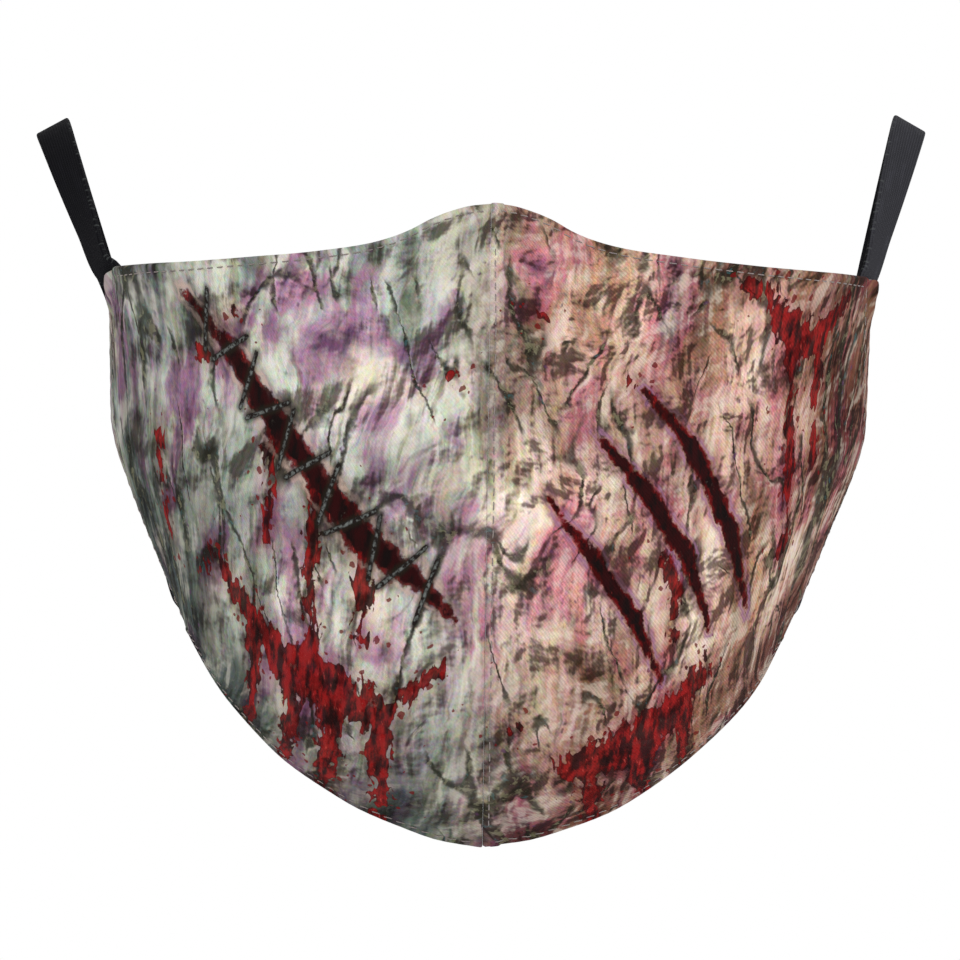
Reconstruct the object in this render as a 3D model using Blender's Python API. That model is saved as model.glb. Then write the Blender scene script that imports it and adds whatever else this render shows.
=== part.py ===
"""Shaped cloth face mask with two ear loops, in metres, +Z up, seen from the front along +Y.

Two shaped cloth panels meet at a centre seam. Each panel's side edge is folded into a sleeve, and an
elastic band runs through each sleeve as one ring, which goes round the ear. The origin is on the inner
side of the nose bridge, where the mask sits on the nose. Left and right are those of the front view.
"""

import math
from collections import namedtuple

import bmesh
import bpy
from mathutils import Vector

# Outline, as seen from the front
HALF_WIDTH = 0.0740
HEIGHT = 0.1238
UPPER_CORNER_DROP = 0.0130
LOWER_CORNER_DROP = 0.0826
LOWER_CORNER_HALF_WIDTH = 0.0577

# Depth, as seen from the side
NOSE_REACH = 0.0262
CHIN_TUCK = 0.0100
UPPER_CORNER_BACK = 0.0770
LOWER_CORNER_BACK = 0.0660

# Cloth
PANEL_WALL = 0.0015
SLEEVE_WALL = 0.0011
SLEEVE_ROUNDING = 0.0009
PIECE_GAP = 0.0003

# Elastic bands
BAND_WIDTH = 0.0070
BAND_THICKNESS = 0.0011
BAND_ROUNDING = 0.0003
BAND_PLAY = 0.0004
LOOP_REACH = 0.0440
UPPER_LEAD = 0.0018
LOWER_LEAD = 0.0026
LOWER_LEAD_BACK = 0.0025
LEFT_RISE = 0.0318
RIGHT_RISE = 0.0346
LEFT_FLARE = 0.0069
RIGHT_FLARE = 0.0019

# How finely each piece is divided
PANEL_COLUMNS = 22
PANEL_ROWS = 30
SLEEVE_STATIONS = 14
SLEEVE_RUNS = 6
BAND_STATIONS = 84
BAND_FINE_STEPS = 16
ARC_STEPS = 60
SLOPE_STEP = 1e-4

# Front outline: drop along the top edge and rise along the bottom edge, as shares of the corners' own
TopRow = namedtuple("TopRow", "across drop")
TOP_EDGE = (
    TopRow(0.00, 0.00),
    TopRow(0.05, 0.03),
    TopRow(0.10, 0.11),
    TopRow(0.155, 0.235),
    TopRow(0.21, 0.40),
    TopRow(0.26, 0.51),
    TopRow(0.32, 0.60),
    TopRow(0.40, 0.68),
    TopRow(0.55, 0.785),
    TopRow(0.75, 0.88),
    TopRow(0.92, 0.955),
    TopRow(1.00, 1.00),
)
BottomRow = namedtuple("BottomRow", "across rise")
BOTTOM_EDGE = (
    BottomRow(0.00, 0.00),
    BottomRow(0.14, 0.03),
    BottomRow(0.29, 0.10),
    BottomRow(0.41, 0.17),
    BottomRow(0.50, 0.24),
    BottomRow(0.65, 0.38),
    BottomRow(0.76, 0.52),
    BottomRow(0.85, 0.66),
    BottomRow(0.92, 0.80),
    BottomRow(0.97, 0.92),
    BottomRow(1.00, 1.00),
)
# Side edge: half width between the lower corner's 0 and the upper corner's 1, and depth likewise
SideRow = namedtuple("SideRow", "height width back")
SIDE_EDGE = (
    SideRow(0.00, 0.00, 0.00),
    SideRow(0.17, 0.31, 0.26),
    SideRow(0.34, 0.61, 0.47),
    SideRow(0.42, 0.75, 0.55),
    SideRow(0.50, 0.87, 0.63),
    SideRow(0.58, 0.94, 0.70),
    SideRow(0.75, 0.965, 0.83),
    SideRow(1.00, 1.00, 1.00),
)
# Centre seam: how far it stands in front of the bridge (1 is the nose's reach, below 0 is behind it)
SeamRow = namedtuple("SeamRow", "height reach")
SEAM_PROFILE = (
    SeamRow(0.00, -0.33),
    SeamRow(0.06, 0.12),
    SeamRow(0.14, 0.50),
    SeamRow(0.25, 0.78),
    SeamRow(0.38, 0.95),
    SeamRow(0.50, 1.00),
    SeamRow(0.62, 0.96),
    SeamRow(0.75, 0.76),
    SeamRow(0.88, 0.42),
    SeamRow(1.00, 0.00),
)
# Plan of the cloth at each height: the two inner handles of its curve from seam to side edge
PlanRow = namedtuple("PlanRow", "height near_across near_back far_across far_back")
PLAN = (
    PlanRow(0.00, 0.50, 0.02, 1.000, 0.40),
    PlanRow(0.25, 0.50, 0.06, 1.000, 0.45),
    PlanRow(0.50, 0.47, 0.10, 0.990, 0.46),
    PlanRow(0.70, 0.38, 0.14, 0.985, 0.44),
    PlanRow(0.86, 0.26, 0.18, 0.980, 0.39),
    PlanRow(1.00, 0.15, 0.21, 0.980, 0.34),
)
# Sleeve: where its front and its rear fold run on the side edge; the rear is shorter, so both mouths slant
SpanRow = namedtuple("SpanRow", "low high")
SLEEVE_FRONT = SpanRow(0.010, 0.995)
SLEEVE_REAR = SpanRow(0.110, 0.920)
# The band lies straight in this share of the sleeve's own length, and bends in the slanted mouths
BAND_STRAIGHT = SpanRow(0.045, 0.970)
# Route of the band round the ear, between the ends of its straight stretch, from the upper to the lower.
# Back is a share of the loop's reach. Height is a share of the loop's rise above the upper end, or below
# 0 of the way down to the lower one. Flare is a share of the lean outwards. Turn is 0 as the band lies in
# the sleeve, and 1 flat round the ear.
RouteRow = namedtuple("RouteRow", "back height flare turn")
LOOP_ROUTE = (
    RouteRow(0.085, 0.205, 0.42, 0.17),
    RouteRow(0.19, 0.414, 0.59, 0.35),
    RouteRow(0.32, 0.667, 0.77, 0.54),
    RouteRow(0.46, 0.872, 0.91, 0.71),
    RouteRow(0.61, 0.985, 1.00, 0.81),
    RouteRow(0.76, 0.975, 0.98, 0.79),
    RouteRow(0.88, 0.816, 0.89, 0.67),
    RouteRow(0.955, 0.564, 0.72, 0.51),
    RouteRow(0.99, 0.268, 0.50, 0.36),
    RouteRow(1.00, -0.03, 0.27, 0.24),
    RouteRow(0.97, -0.277, 0.10, 0.32),
    RouteRow(0.89, -0.54, 0.00, 0.58),
    RouteRow(0.76, -0.771, 0.00, 0.65),
    RouteRow(0.59, -0.94, 0.00, 0.60),
    RouteRow(0.40, -1.045, 0.00, 0.46),
    RouteRow(0.24, -1.088, 0.00, 0.28),
    RouteRow(0.125, -1.095, 0.00, 0.14),
)
# How far the band has turned at each numbered point of its closed route
TurnRow = namedtuple("TurnRow", "number turn")

CLOTH_COLOUR = (0.62, 0.52, 0.48, 1.0)
BAND_COLOUR = (0.02, 0.02, 0.025, 1.0)


def share_between(rows, column, at):
    """The value of a table's column at a place in its first column, on a smooth line with no overshoot."""
    places = [row[0] for row in rows]
    values = [getattr(row, column) for row in rows]
    at = min(max(at, places[0]), places[-1])
    last = len(rows) - 2
    k = next((i for i in range(last + 1) if at <= places[i + 1]), last)

    def slope(i):
        return (values[i + 1] - values[i]) / (places[i + 1] - places[i])

    def tangent(i):
        if i == 0 or i == last + 1:
            return slope(min(i, last))
        before, after = slope(i - 1), slope(i)
        return 2 * before * after / (before + after) if before * after > 0 else 0.0

    span = places[k + 1] - places[k]
    t = (at - places[k]) / span
    return (
        values[k] * (1 + 2 * t) * (1 - t) ** 2
        + tangent(k) * span * t * (1 - t) ** 2
        + values[k + 1] * t * t * (3 - 2 * t)
        + tangent(k + 1) * span * t * t * (t - 1)
    )


def between(low, high, share):
    return low + (high - low) * share


def curve_share(at, near, far):
    """A cubic curve from 0 to 1 with two inner handles."""
    return 3 * (1 - at) ** 2 * at * near + 3 * (1 - at) * at * at * far + at**3


def bridge_depth():
    """How deep the cloth is at the nose bridge, measured along Y on the slanting side of the nose."""
    row = PLAN[-1]
    slope = row.near_back * UPPER_CORNER_BACK / (row.near_across * HALF_WIDTH)
    return PANEL_WALL * math.sqrt(1 + slope * slope)


def cloth_point(across, height):
    """A point on the outer face of the right half: across from seam to side edge, height from bottom to top."""
    width = between(
        LOWER_CORNER_HALF_WIDTH, HALF_WIDTH, share_between(SIDE_EDGE, "width", height)
    )
    edge_back = between(
        LOWER_CORNER_BACK, UPPER_CORNER_BACK, share_between(SIDE_EDGE, "back", height)
    )
    reach = share_between(SEAM_PROFILE, "reach", height)
    seam_back = -NOSE_REACH * reach if reach > 0 else CHIN_TUCK * reach / SEAM_PROFILE[0].reach
    seam_back -= bridge_depth()
    out = curve_share(
        across,
        share_between(PLAN, "near_across", height),
        share_between(PLAN, "far_across", height),
    )
    back = curve_share(
        across,
        share_between(PLAN, "near_back", height),
        share_between(PLAN, "far_back", height),
    )
    top = UPPER_CORNER_DROP * share_between(TOP_EDGE, "drop", out)
    rise = (HEIGHT - LOWER_CORNER_DROP) * share_between(BOTTOM_EDGE, "rise", out)
    return Vector(
        (
            width * out,
            between(seam_back, edge_back, back),
            -between(HEIGHT - rise, top, height),
        )
    )


def cloth_directions(across, height):
    """Unit vectors at a point of the cloth: along it towards the side edge, and out of its face."""
    low_a, high_a = max(across - SLOPE_STEP, 0.0), min(across + SLOPE_STEP, 1.0)
    low_h, high_h = max(height - SLOPE_STEP, 0.0), min(height + SLOPE_STEP, 1.0)
    along = cloth_point(high_a, height) - cloth_point(low_a, height)
    up = cloth_point(across, high_h) - cloth_point(across, low_h)
    return along.normalized(), along.cross(up).normalized()


def across_at_length(height, wanted, from_edge):
    """Where a row of the cloth has run that far from its seam, or from its side edge."""
    shares = [i / ARC_STEPS for i in range(ARC_STEPS + 1)]
    if from_edge:
        shares.reverse()
    run = 0.0
    for first, second in zip(shares, shares[1:]):
        step = (cloth_point(second, height) - cloth_point(first, height)).length
        if run + step >= wanted:
            return between(first, second, (wanted - run) / step)
        run += step
    return shares[-1]


def across_at_x(height, x):
    """Where a row of the cloth has come that far from the centre plane."""
    low, high = 0.0, 1.0
    while high - low > 1e-7:
        middle = (low + high) / 2
        low, high = (middle, high) if cloth_point(middle, height).x < x else (low, middle)
    return low


def mirrored(point, side):
    return Vector((point.x * side, point.y, point.z))


def material(name, colour, roughness):
    made = bpy.data.materials.new(name)
    made.use_nodes = True
    shader = made.node_tree.nodes["Principled BSDF"]
    shader.inputs["Base Color"].default_value = colour
    shader.inputs["Roughness"].default_value = roughness
    shader.inputs["Metallic"].default_value = 0.0
    return made


def finished(name, mesh, finish, sharp_degrees):
    """An object from a bmesh, with its faces turned out and shaded smooth."""
    bmesh.ops.recalc_face_normals(mesh, faces=mesh.faces)
    data = bpy.data.meshes.new(name)
    mesh.to_mesh(data)
    mesh.free()
    data.shade_smooth()
    data.set_sharp_from_angle(angle=math.radians(sharp_degrees))
    data.materials.append(finish)
    made = bpy.data.objects.new(name, data)
    bpy.context.scene.collection.objects.link(made)
    return made


def ring_quads(mesh, first, second):
    """Quads between two rings of vertices that have the same count."""
    count = len(first)
    for i in range(count):
        j = (i + 1) % count
        mesh.faces.new((first[i], first[j], second[j], second[i]))


def panel_rows(side):
    """Rows of (outer point, inner point), from bottom to top, each from seam to sleeve."""
    rows = []
    for r in range(PANEL_ROWS + 1):
        height = r / PANEL_ROWS
        start = across_at_x(height, PIECE_GAP / 2)
        end = across_at_length(height, sleeve_width() + PIECE_GAP, from_edge=True)
        seam_along, seam_face = cloth_directions(start, height)
        mitre = PANEL_WALL * seam_face.x / seam_along.x
        row = []
        for c in range(PANEL_COLUMNS + 1):
            across = between(start, end, c / PANEL_COLUMNS)
            outer = cloth_point(across, height)
            along, face = cloth_directions(across, height)
            slide = mitre * max(0.0, 1 - outer.x / (4 * mitre)) if mitre > 0 else 0.0
            inner = outer - PANEL_WALL * face + slide * along
            if c == 0:
                inner.x = outer.x
            row.append((mirrored(outer, side), mirrored(inner, side)))
        rows.append(row)
    return rows


def panel(name, side, finish):
    """One half of the mask: a curved cloth wall, closed along its four edges."""
    rows = panel_rows(side)
    mesh = bmesh.new()
    faces = [
        [[mesh.verts.new(pair[layer]) for pair in row] for row in rows] for layer in (0, 1)
    ]
    for layer in faces:
        for lower, upper in zip(layer, layer[1:]):
            for c in range(PANEL_COLUMNS):
                mesh.faces.new((lower[c], lower[c + 1], upper[c + 1], upper[c]))
    rims = []
    for layer in faces:
        bottom, top = layer[0], layer[-1]
        right = [row[-1] for row in layer[1:-1]]
        left = [row[0] for row in layer[1:-1]]
        rims.append(bottom + right + top[::-1] + left[::-1])
    ring_quads(mesh, rims[0], rims[1])
    return finished(name, mesh, finish, sharp_degrees=50)


def rounded_section(width, thickness, rounding, corner_steps):
    """Points round a rounded rectangle, centred on 0, as (along the width, along the thickness)."""
    points = []
    for corner in range(4):
        quarter = corner * math.pi / 2
        sign_w = (1, -1, -1, 1)[corner]
        sign_t = (1, 1, -1, -1)[corner]
        for step in range(corner_steps + 1):
            turn = quarter + step / corner_steps * math.pi / 2
            points.append(
                (
                    sign_w * (width / 2 - rounding) + rounding * math.cos(turn),
                    sign_t * (thickness / 2 - rounding) + rounding * math.sin(turn),
                )
            )
    return points


def sleeve_width():
    return BAND_WIDTH + 2 * (BAND_PLAY + SLEEVE_WALL)


def sleeve_hollow():
    return BAND_THICKNESS + 2 * BAND_PLAY


def sleeve_thickness():
    return sleeve_hollow() + 2 * SLEEVE_WALL


def sleeve_frame(share):
    """The sleeve's middle at a share of its length, its width's direction, the way out, and its width."""
    front_height = between(*SLEEVE_FRONT, share)
    rear_height = between(*SLEEVE_REAR, share)
    start = across_at_length(front_height, sleeve_width(), from_edge=True)
    front, rear = cloth_point(start, front_height), cloth_point(1.0, rear_height)
    _, face = cloth_directions((start + 1) / 2, (front_height + rear_height) / 2)
    wide = (rear - front).normalized()
    face = (face - face.dot(wide) * wide).normalized()
    middle = (front + rear) / 2 - face * sleeve_thickness() / 2
    return middle, wide, face, (rear - front).length


def placed(section, middle, wide, face):
    return [middle + wide * w + face * t for w, t in section]


def sleeve(name, side, finish):
    """The folded side hem: a flat tube with both ends open."""
    mesh = bmesh.new()
    rings = {"outer": [], "inner": []}
    for k in range(SLEEVE_STATIONS + 1):
        middle, wide, face, width = sleeve_frame(k / SLEEVE_STATIONS)
        outer = rounded_section(width, sleeve_thickness(), SLEEVE_ROUNDING, 3)
        inner = rounded_section(
            width - 2 * SLEEVE_WALL, sleeve_hollow(), SLEEVE_ROUNDING / 2, 3
        )
        for kind, section in (("outer", outer), ("inner", inner)):
            points = placed(section, middle, wide, face)
            rings[kind].append([mesh.verts.new(mirrored(p, side)) for p in points])
    for kind in rings:
        for lower, upper in zip(rings[kind], rings[kind][1:]):
            ring_quads(mesh, lower, upper)
    for end in (0, -1):
        ring_quads(mesh, rings["outer"][end], rings["inner"][end])
    return finished(name, mesh, finish, sharp_degrees=50)


def past_mouth(end, beyond, back):
    """A point past a mouth of the sleeve, straight on along it and then back towards its rear fold."""
    middle, wide, _, _ = sleeve_frame(end)
    inner = sleeve_frame(abs(end - 1 / SLEEVE_STATIONS))[0]
    return middle + (middle - inner).normalized() * beyond + wide * back


def loop_points(rise, flare):
    """The band's closed route on the right: up through the sleeve, round the ear, and back in below."""
    inside = [sleeve_frame(between(*BAND_STRAIGHT, k / SLEEVE_RUNS))[0] for k in range(SLEEVE_RUNS + 1)]
    lower, upper = inside[0], inside[-1]
    out_per_rise = (upper.x - lower.x) / (upper.z - lower.z)
    outside = []
    for row in LOOP_ROUTE:
        down = max(-row.height, 0.0)
        z = between(upper.z, lower.z, down) + rise * max(row.height, 0.0)
        y = between(upper.y, lower.y, down) + LOOP_REACH * row.back
        x = upper.x + out_per_rise * (z - upper.z) + flare * row.flare
        outside.append(Vector((x, y, z)))
    leave = past_mouth(1.0, UPPER_LEAD, 0.0)
    enter = past_mouth(0.0, LOWER_LEAD, LOWER_LEAD_BACK)
    return [*inside, leave, *outside, enter]


def closed_curve(points, count):
    """Evenly spaced places on a smooth closed line through the points, as (place, point number)."""
    fine = []
    total = len(points)
    for k in range(total):
        p0, p1, p2, p3 = (points[(k + i - 1) % total] for i in range(4))
        # Knots follow the square root of the spacing, which keeps uneven points free of loops.
        t1 = math.sqrt((p1 - p0).length)
        t2 = t1 + math.sqrt((p2 - p1).length)
        t3 = t2 + math.sqrt((p3 - p2).length)
        for i in range(BAND_FINE_STEPS):
            t = between(t1, t2, i / BAND_FINE_STEPS)
            a1 = p0.lerp(p1, t / t1)
            a2 = p1.lerp(p2, (t - t1) / (t2 - t1))
            a3 = p2.lerp(p3, (t - t2) / (t3 - t2))
            b1 = a1.lerp(a2, t / t2)
            b2 = a2.lerp(a3, (t - t1) / (t3 - t1))
            fine.append((b1.lerp(b2, (t - t1) / (t2 - t1)), k + i / BAND_FINE_STEPS))
    fine.append((points[0].copy(), float(total)))
    lengths = [0.0]
    for first, second in zip(fine, fine[1:]):
        lengths.append(lengths[-1] + (second[0] - first[0]).length)
    even = []
    k = 0
    for i in range(count):
        wanted = lengths[-1] * i / count
        while lengths[k + 1] < wanted:
            k += 1
        share = (wanted - lengths[k]) / (lengths[k + 1] - lengths[k])
        even.append(
            (fine[k][0].lerp(fine[k + 1][0], share), between(fine[k][1], fine[k + 1][1], share))
        )
    return even


def loop_basis(along, across_loop):
    """Unit vectors across the band's run: towards the inside of the loop, and out of the loop's plane."""
    out = (across_loop - across_loop.dot(along) * along).normalized()
    return along.cross(out), out


def angle_in_sleeve(share, along, across_loop):
    """How far the sleeve's own slant already turns the band at an end of its straight stretch."""
    wide = sleeve_frame(share)[1]
    inward, out = loop_basis(along, across_loop)
    return math.atan2(wide.dot(out), wide.dot(inward))


def band(name, side, rise, flare, finish):
    """The elastic: a flat ring that lies in the sleeve, then turns to lie round the ear."""
    points = loop_points(rise, flare)
    stations = closed_curve(points, BAND_STATIONS)
    lower, upper = points[0], points[SLEEVE_RUNS]
    across_loop = (upper - lower).cross(Vector((0, -1, 0))).normalized()
    lower_angle = angle_in_sleeve(BAND_STRAIGHT.low, (points[1] - lower).normalized(), across_loop)
    upper_run = (upper - points[SLEEVE_RUNS - 1]).normalized()
    upper_angle = angle_in_sleeve(BAND_STRAIGHT.high, upper_run, across_loop)
    first_row = SLEEVE_RUNS + 2
    turns = [TurnRow(first_row + i, row.turn) for i, row in enumerate(LOOP_ROUTE)]
    turns = [TurnRow(first_row - 1, 0.0), *turns, TurnRow(first_row + len(LOOP_ROUTE), 0.0)]
    section = rounded_section(BAND_WIDTH, BAND_THICKNESS, BAND_ROUNDING, 1)
    mesh = bmesh.new()
    rings = []
    for i, (middle, number) in enumerate(stations):
        before, after = stations[i - 1][0], stations[(i + 1) % BAND_STATIONS][0]
        along = (after - before).normalized()
        if number <= SLEEVE_RUNS:
            wide = sleeve_frame(between(*BAND_STRAIGHT, number / SLEEVE_RUNS))[1]
            wide = (wide - wide.dot(along) * along).normalized()
        else:
            past = (number - SLEEVE_RUNS) / (len(points) - SLEEVE_RUNS)
            flat_angle = between(upper_angle, lower_angle, past)
            angle = between(flat_angle, math.pi / 2, share_between(turns, "turn", number))
            inward, out = loop_basis(along, across_loop)
            wide = inward * math.cos(angle) + out * math.sin(angle)
        ring = placed(section, middle, wide, along.cross(wide))
        rings.append([mesh.verts.new(mirrored(p, side)) for p in ring])
    for i, ring in enumerate(rings):
        ring_quads(mesh, ring, rings[(i + 1) % len(rings)])
    return finished(name, mesh, finish, sharp_degrees=60)


def main():
    for old in list(bpy.data.objects):
        bpy.data.objects.remove(old, do_unlink=True)
    cloth = material("printed_cloth", CLOTH_COLOUR, 0.85)
    elastic = material("black_elastic", BAND_COLOUR, 0.80)
    for word, side, rise, flare in (
        ("left", -1, LEFT_RISE, LEFT_FLARE),
        ("right", 1, RIGHT_RISE, RIGHT_FLARE),
    ):
        panel(f"{word}_panel", side, cloth)
        sleeve(f"{word}_sleeve", side, cloth)
        band(f"{word}_ear_loop", side, rise, flare, elastic)


if __name__ == "__main__":
    main()
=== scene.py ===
"""A shaped cloth face mask with a distressed print and two elastic ear loops, dressed on its fixed frame.

Metres, +Z up, seen from the front along +Y. The file is laid out as an add-on and is run as a script.
Each half is worked out on the right and mirrored for the left. Lengths named in the print's tables are
in millimetres of flat cloth: across from the centre seam, and up from the middle of the seam.
"""

import math
from collections import namedtuple

import bmesh
import bpy
import numpy as np
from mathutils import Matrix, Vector


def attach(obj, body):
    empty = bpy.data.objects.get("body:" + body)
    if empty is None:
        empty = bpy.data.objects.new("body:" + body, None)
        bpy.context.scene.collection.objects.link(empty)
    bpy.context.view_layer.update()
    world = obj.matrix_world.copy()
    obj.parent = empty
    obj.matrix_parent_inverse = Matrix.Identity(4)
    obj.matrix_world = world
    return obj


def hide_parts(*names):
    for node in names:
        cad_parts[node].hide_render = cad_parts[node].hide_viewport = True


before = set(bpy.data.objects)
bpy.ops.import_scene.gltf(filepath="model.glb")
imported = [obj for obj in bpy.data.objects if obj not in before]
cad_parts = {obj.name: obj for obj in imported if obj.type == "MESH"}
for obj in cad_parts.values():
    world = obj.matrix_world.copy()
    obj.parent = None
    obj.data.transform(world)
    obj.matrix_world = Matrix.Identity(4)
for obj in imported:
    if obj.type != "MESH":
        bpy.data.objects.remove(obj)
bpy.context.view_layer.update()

bl_info = {
    "name": "Printed cloth face mask",
    "version": (1, 0, 0),
    "blender": (4, 5, 0),
    "location": "3D View > Sidebar > Face mask",
    "description": "Builds the printed panels, sleeves, ear loops and stitching of a shaped cloth mask",
    "category": "Add Mesh",
}

# The cut of the cloth, with the same sizes as the frame's own pieces
HALF_WIDTH = 0.0740
HEIGHT = 0.1238
UPPER_CORNER_DROP = 0.0130
LOWER_CORNER_DROP = 0.0826
LOWER_CORNER_HALF_WIDTH = 0.0577
NOSE_REACH = 0.0262
CHIN_TUCK = 0.0100
UPPER_CORNER_BACK = 0.0770
LOWER_CORNER_BACK = 0.0660
PANEL_WALL = 0.0015
SLEEVE_WALL = 0.0011
BAND_WIDTH = 0.0070
BAND_THICKNESS = 0.0011
BAND_PLAY = 0.0004
LOOP_RISE = {"left": 0.0318, "right": 0.0346}
LOOP_FLARE = {"left": 0.0069, "right": 0.0019}
# Share of painted light, a lighter grey, laid on the outer face of each ear loop, most on the right loop
LOOP_PAINTED_LIGHT = {"left": 0.08, "right": 1.0}
LOOP_REACH = 0.0440
UPPER_LEAD = 0.0006
LOWER_LEAD = 0.0026
LOWER_LEAD_BACK = 0.0025
SLEEVE_WIDTH = BAND_WIDTH + 2 * (BAND_PLAY + SLEEVE_WALL)
SLEEVE_HOLLOW = BAND_THICKNESS + 2 * BAND_PLAY
SLEEVE_THICKNESS = SLEEVE_HOLLOW + 2 * SLEEVE_WALL
SLEEVE_PINCH = 0.0021
MOUTH_SPREAD = {"left": 0.0014, "right": 0.0018}
MOUTH_LIFT = {"left": 0.0007, "right": 0.0015}
FOLD_OUTSIDE = 0.0008
FOLD_INSIDE = 0.0015
SIDES = {"left": -1, "right": 1}

TopRow = namedtuple("TopRow", "across drop")
TOP_EDGE = (
    TopRow(0.00, 0.00),
    TopRow(0.05, 0.03),
    TopRow(0.10, 0.11),
    TopRow(0.155, 0.235),
    TopRow(0.21, 0.40),
    TopRow(0.26, 0.51),
    TopRow(0.32, 0.60),
    TopRow(0.40, 0.68),
    TopRow(0.55, 0.785),
    TopRow(0.75, 0.88),
    TopRow(0.92, 0.955),
    TopRow(1.00, 1.00),
)
BottomRow = namedtuple("BottomRow", "across rise")
BOTTOM_EDGE = (
    BottomRow(0.00, 0.00),
    BottomRow(0.14, 0.03),
    BottomRow(0.29, 0.10),
    BottomRow(0.41, 0.17),
    BottomRow(0.50, 0.24),
    BottomRow(0.65, 0.38),
    BottomRow(0.76, 0.52),
    BottomRow(0.85, 0.66),
    BottomRow(0.92, 0.80),
    BottomRow(0.97, 0.92),
    BottomRow(1.00, 1.00),
)
SideRow = namedtuple("SideRow", "height width back")
SIDE_EDGE = (
    SideRow(0.00, 0.00, 0.00),
    SideRow(0.17, 0.31, 0.26),
    SideRow(0.34, 0.61, 0.47),
    SideRow(0.42, 0.75, 0.55),
    SideRow(0.50, 0.87, 0.63),
    SideRow(0.58, 0.94, 0.70),
    SideRow(0.75, 0.965, 0.83),
    SideRow(1.00, 1.00, 1.00),
)
SeamRow = namedtuple("SeamRow", "height reach")
SEAM_PROFILE = (
    SeamRow(0.00, -0.33),
    SeamRow(0.06, 0.12),
    SeamRow(0.14, 0.50),
    SeamRow(0.25, 0.78),
    SeamRow(0.38, 0.95),
    SeamRow(0.50, 1.00),
    SeamRow(0.62, 0.96),
    SeamRow(0.75, 0.76),
    SeamRow(0.88, 0.42),
    SeamRow(1.00, 0.00),
)
PlanRow = namedtuple("PlanRow", "height near_across near_back far_across far_back")
PLAN = (
    PlanRow(0.00, 0.50, 0.02, 1.000, 0.40),
    PlanRow(0.25, 0.50, 0.06, 1.000, 0.45),
    PlanRow(0.50, 0.47, 0.10, 0.990, 0.46),
    PlanRow(0.70, 0.38, 0.14, 0.985, 0.44),
    PlanRow(0.86, 0.26, 0.18, 0.980, 0.39),
    PlanRow(1.00, 0.15, 0.21, 0.980, 0.34),
)
SpanRow = namedtuple("SpanRow", "low high")
SLEEVE_FRONT = SpanRow(0.010, 0.995)
SLEEVE_REAR = SpanRow(0.110, 0.920)
BAND_STRAIGHT = SpanRow(0.045, 0.970)
SLEEVE_RUNS = 6
MOUTH_STEP = 1 / 14
# The band's route round each ear, in shares of its reach, rise and flare, and how far it has turned flat
RouteRow = namedtuple("RouteRow", "back height flare turn")
LOOP_ROUTE = (
    RouteRow(0.05, 0.14, 0.36, 0.17),
    RouteRow(0.19, 0.414, 0.59, 0.35),
    RouteRow(0.32, 0.667, 0.77, 0.54),
    RouteRow(0.46, 0.872, 0.91, 0.71),
    RouteRow(0.61, 0.985, 1.00, 0.81),
    RouteRow(0.76, 0.975, 0.98, 0.79),
    RouteRow(0.88, 0.816, 0.89, 0.67),
    RouteRow(0.955, 0.564, 0.72, 0.51),
    RouteRow(0.99, 0.268, 0.50, 0.36),
    RouteRow(1.00, -0.03, 0.27, 0.24),
    RouteRow(0.97, -0.277, 0.10, 0.32),
    RouteRow(0.89, -0.54, 0.00, 0.58),
    RouteRow(0.76, -0.771, 0.00, 0.65),
    RouteRow(0.59, -0.94, 0.00, 0.60),
    RouteRow(0.4, -1.045, 0.00, 0.46),
    RouteRow(0.24, -1.088, 0.00, 0.28),
    RouteRow(0.125, -1.095, 0.00, 0.14),
)
TurnRow = namedtuple("TurnRow", "number turn")

# How finely the pieces are divided
EDGE_STEPS = (0.0, 0.00012, 0.0003, 0.00055, 0.0009, 0.0013)
MEASURE_COLUMNS = 321
MEASURE_ROWS = 241
SLEEVE_CORNER_STEPS = 7
BAND_STATIONS = 300
CURVE_STEPS = 16
SLOPE_STEP = 1e-4

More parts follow.
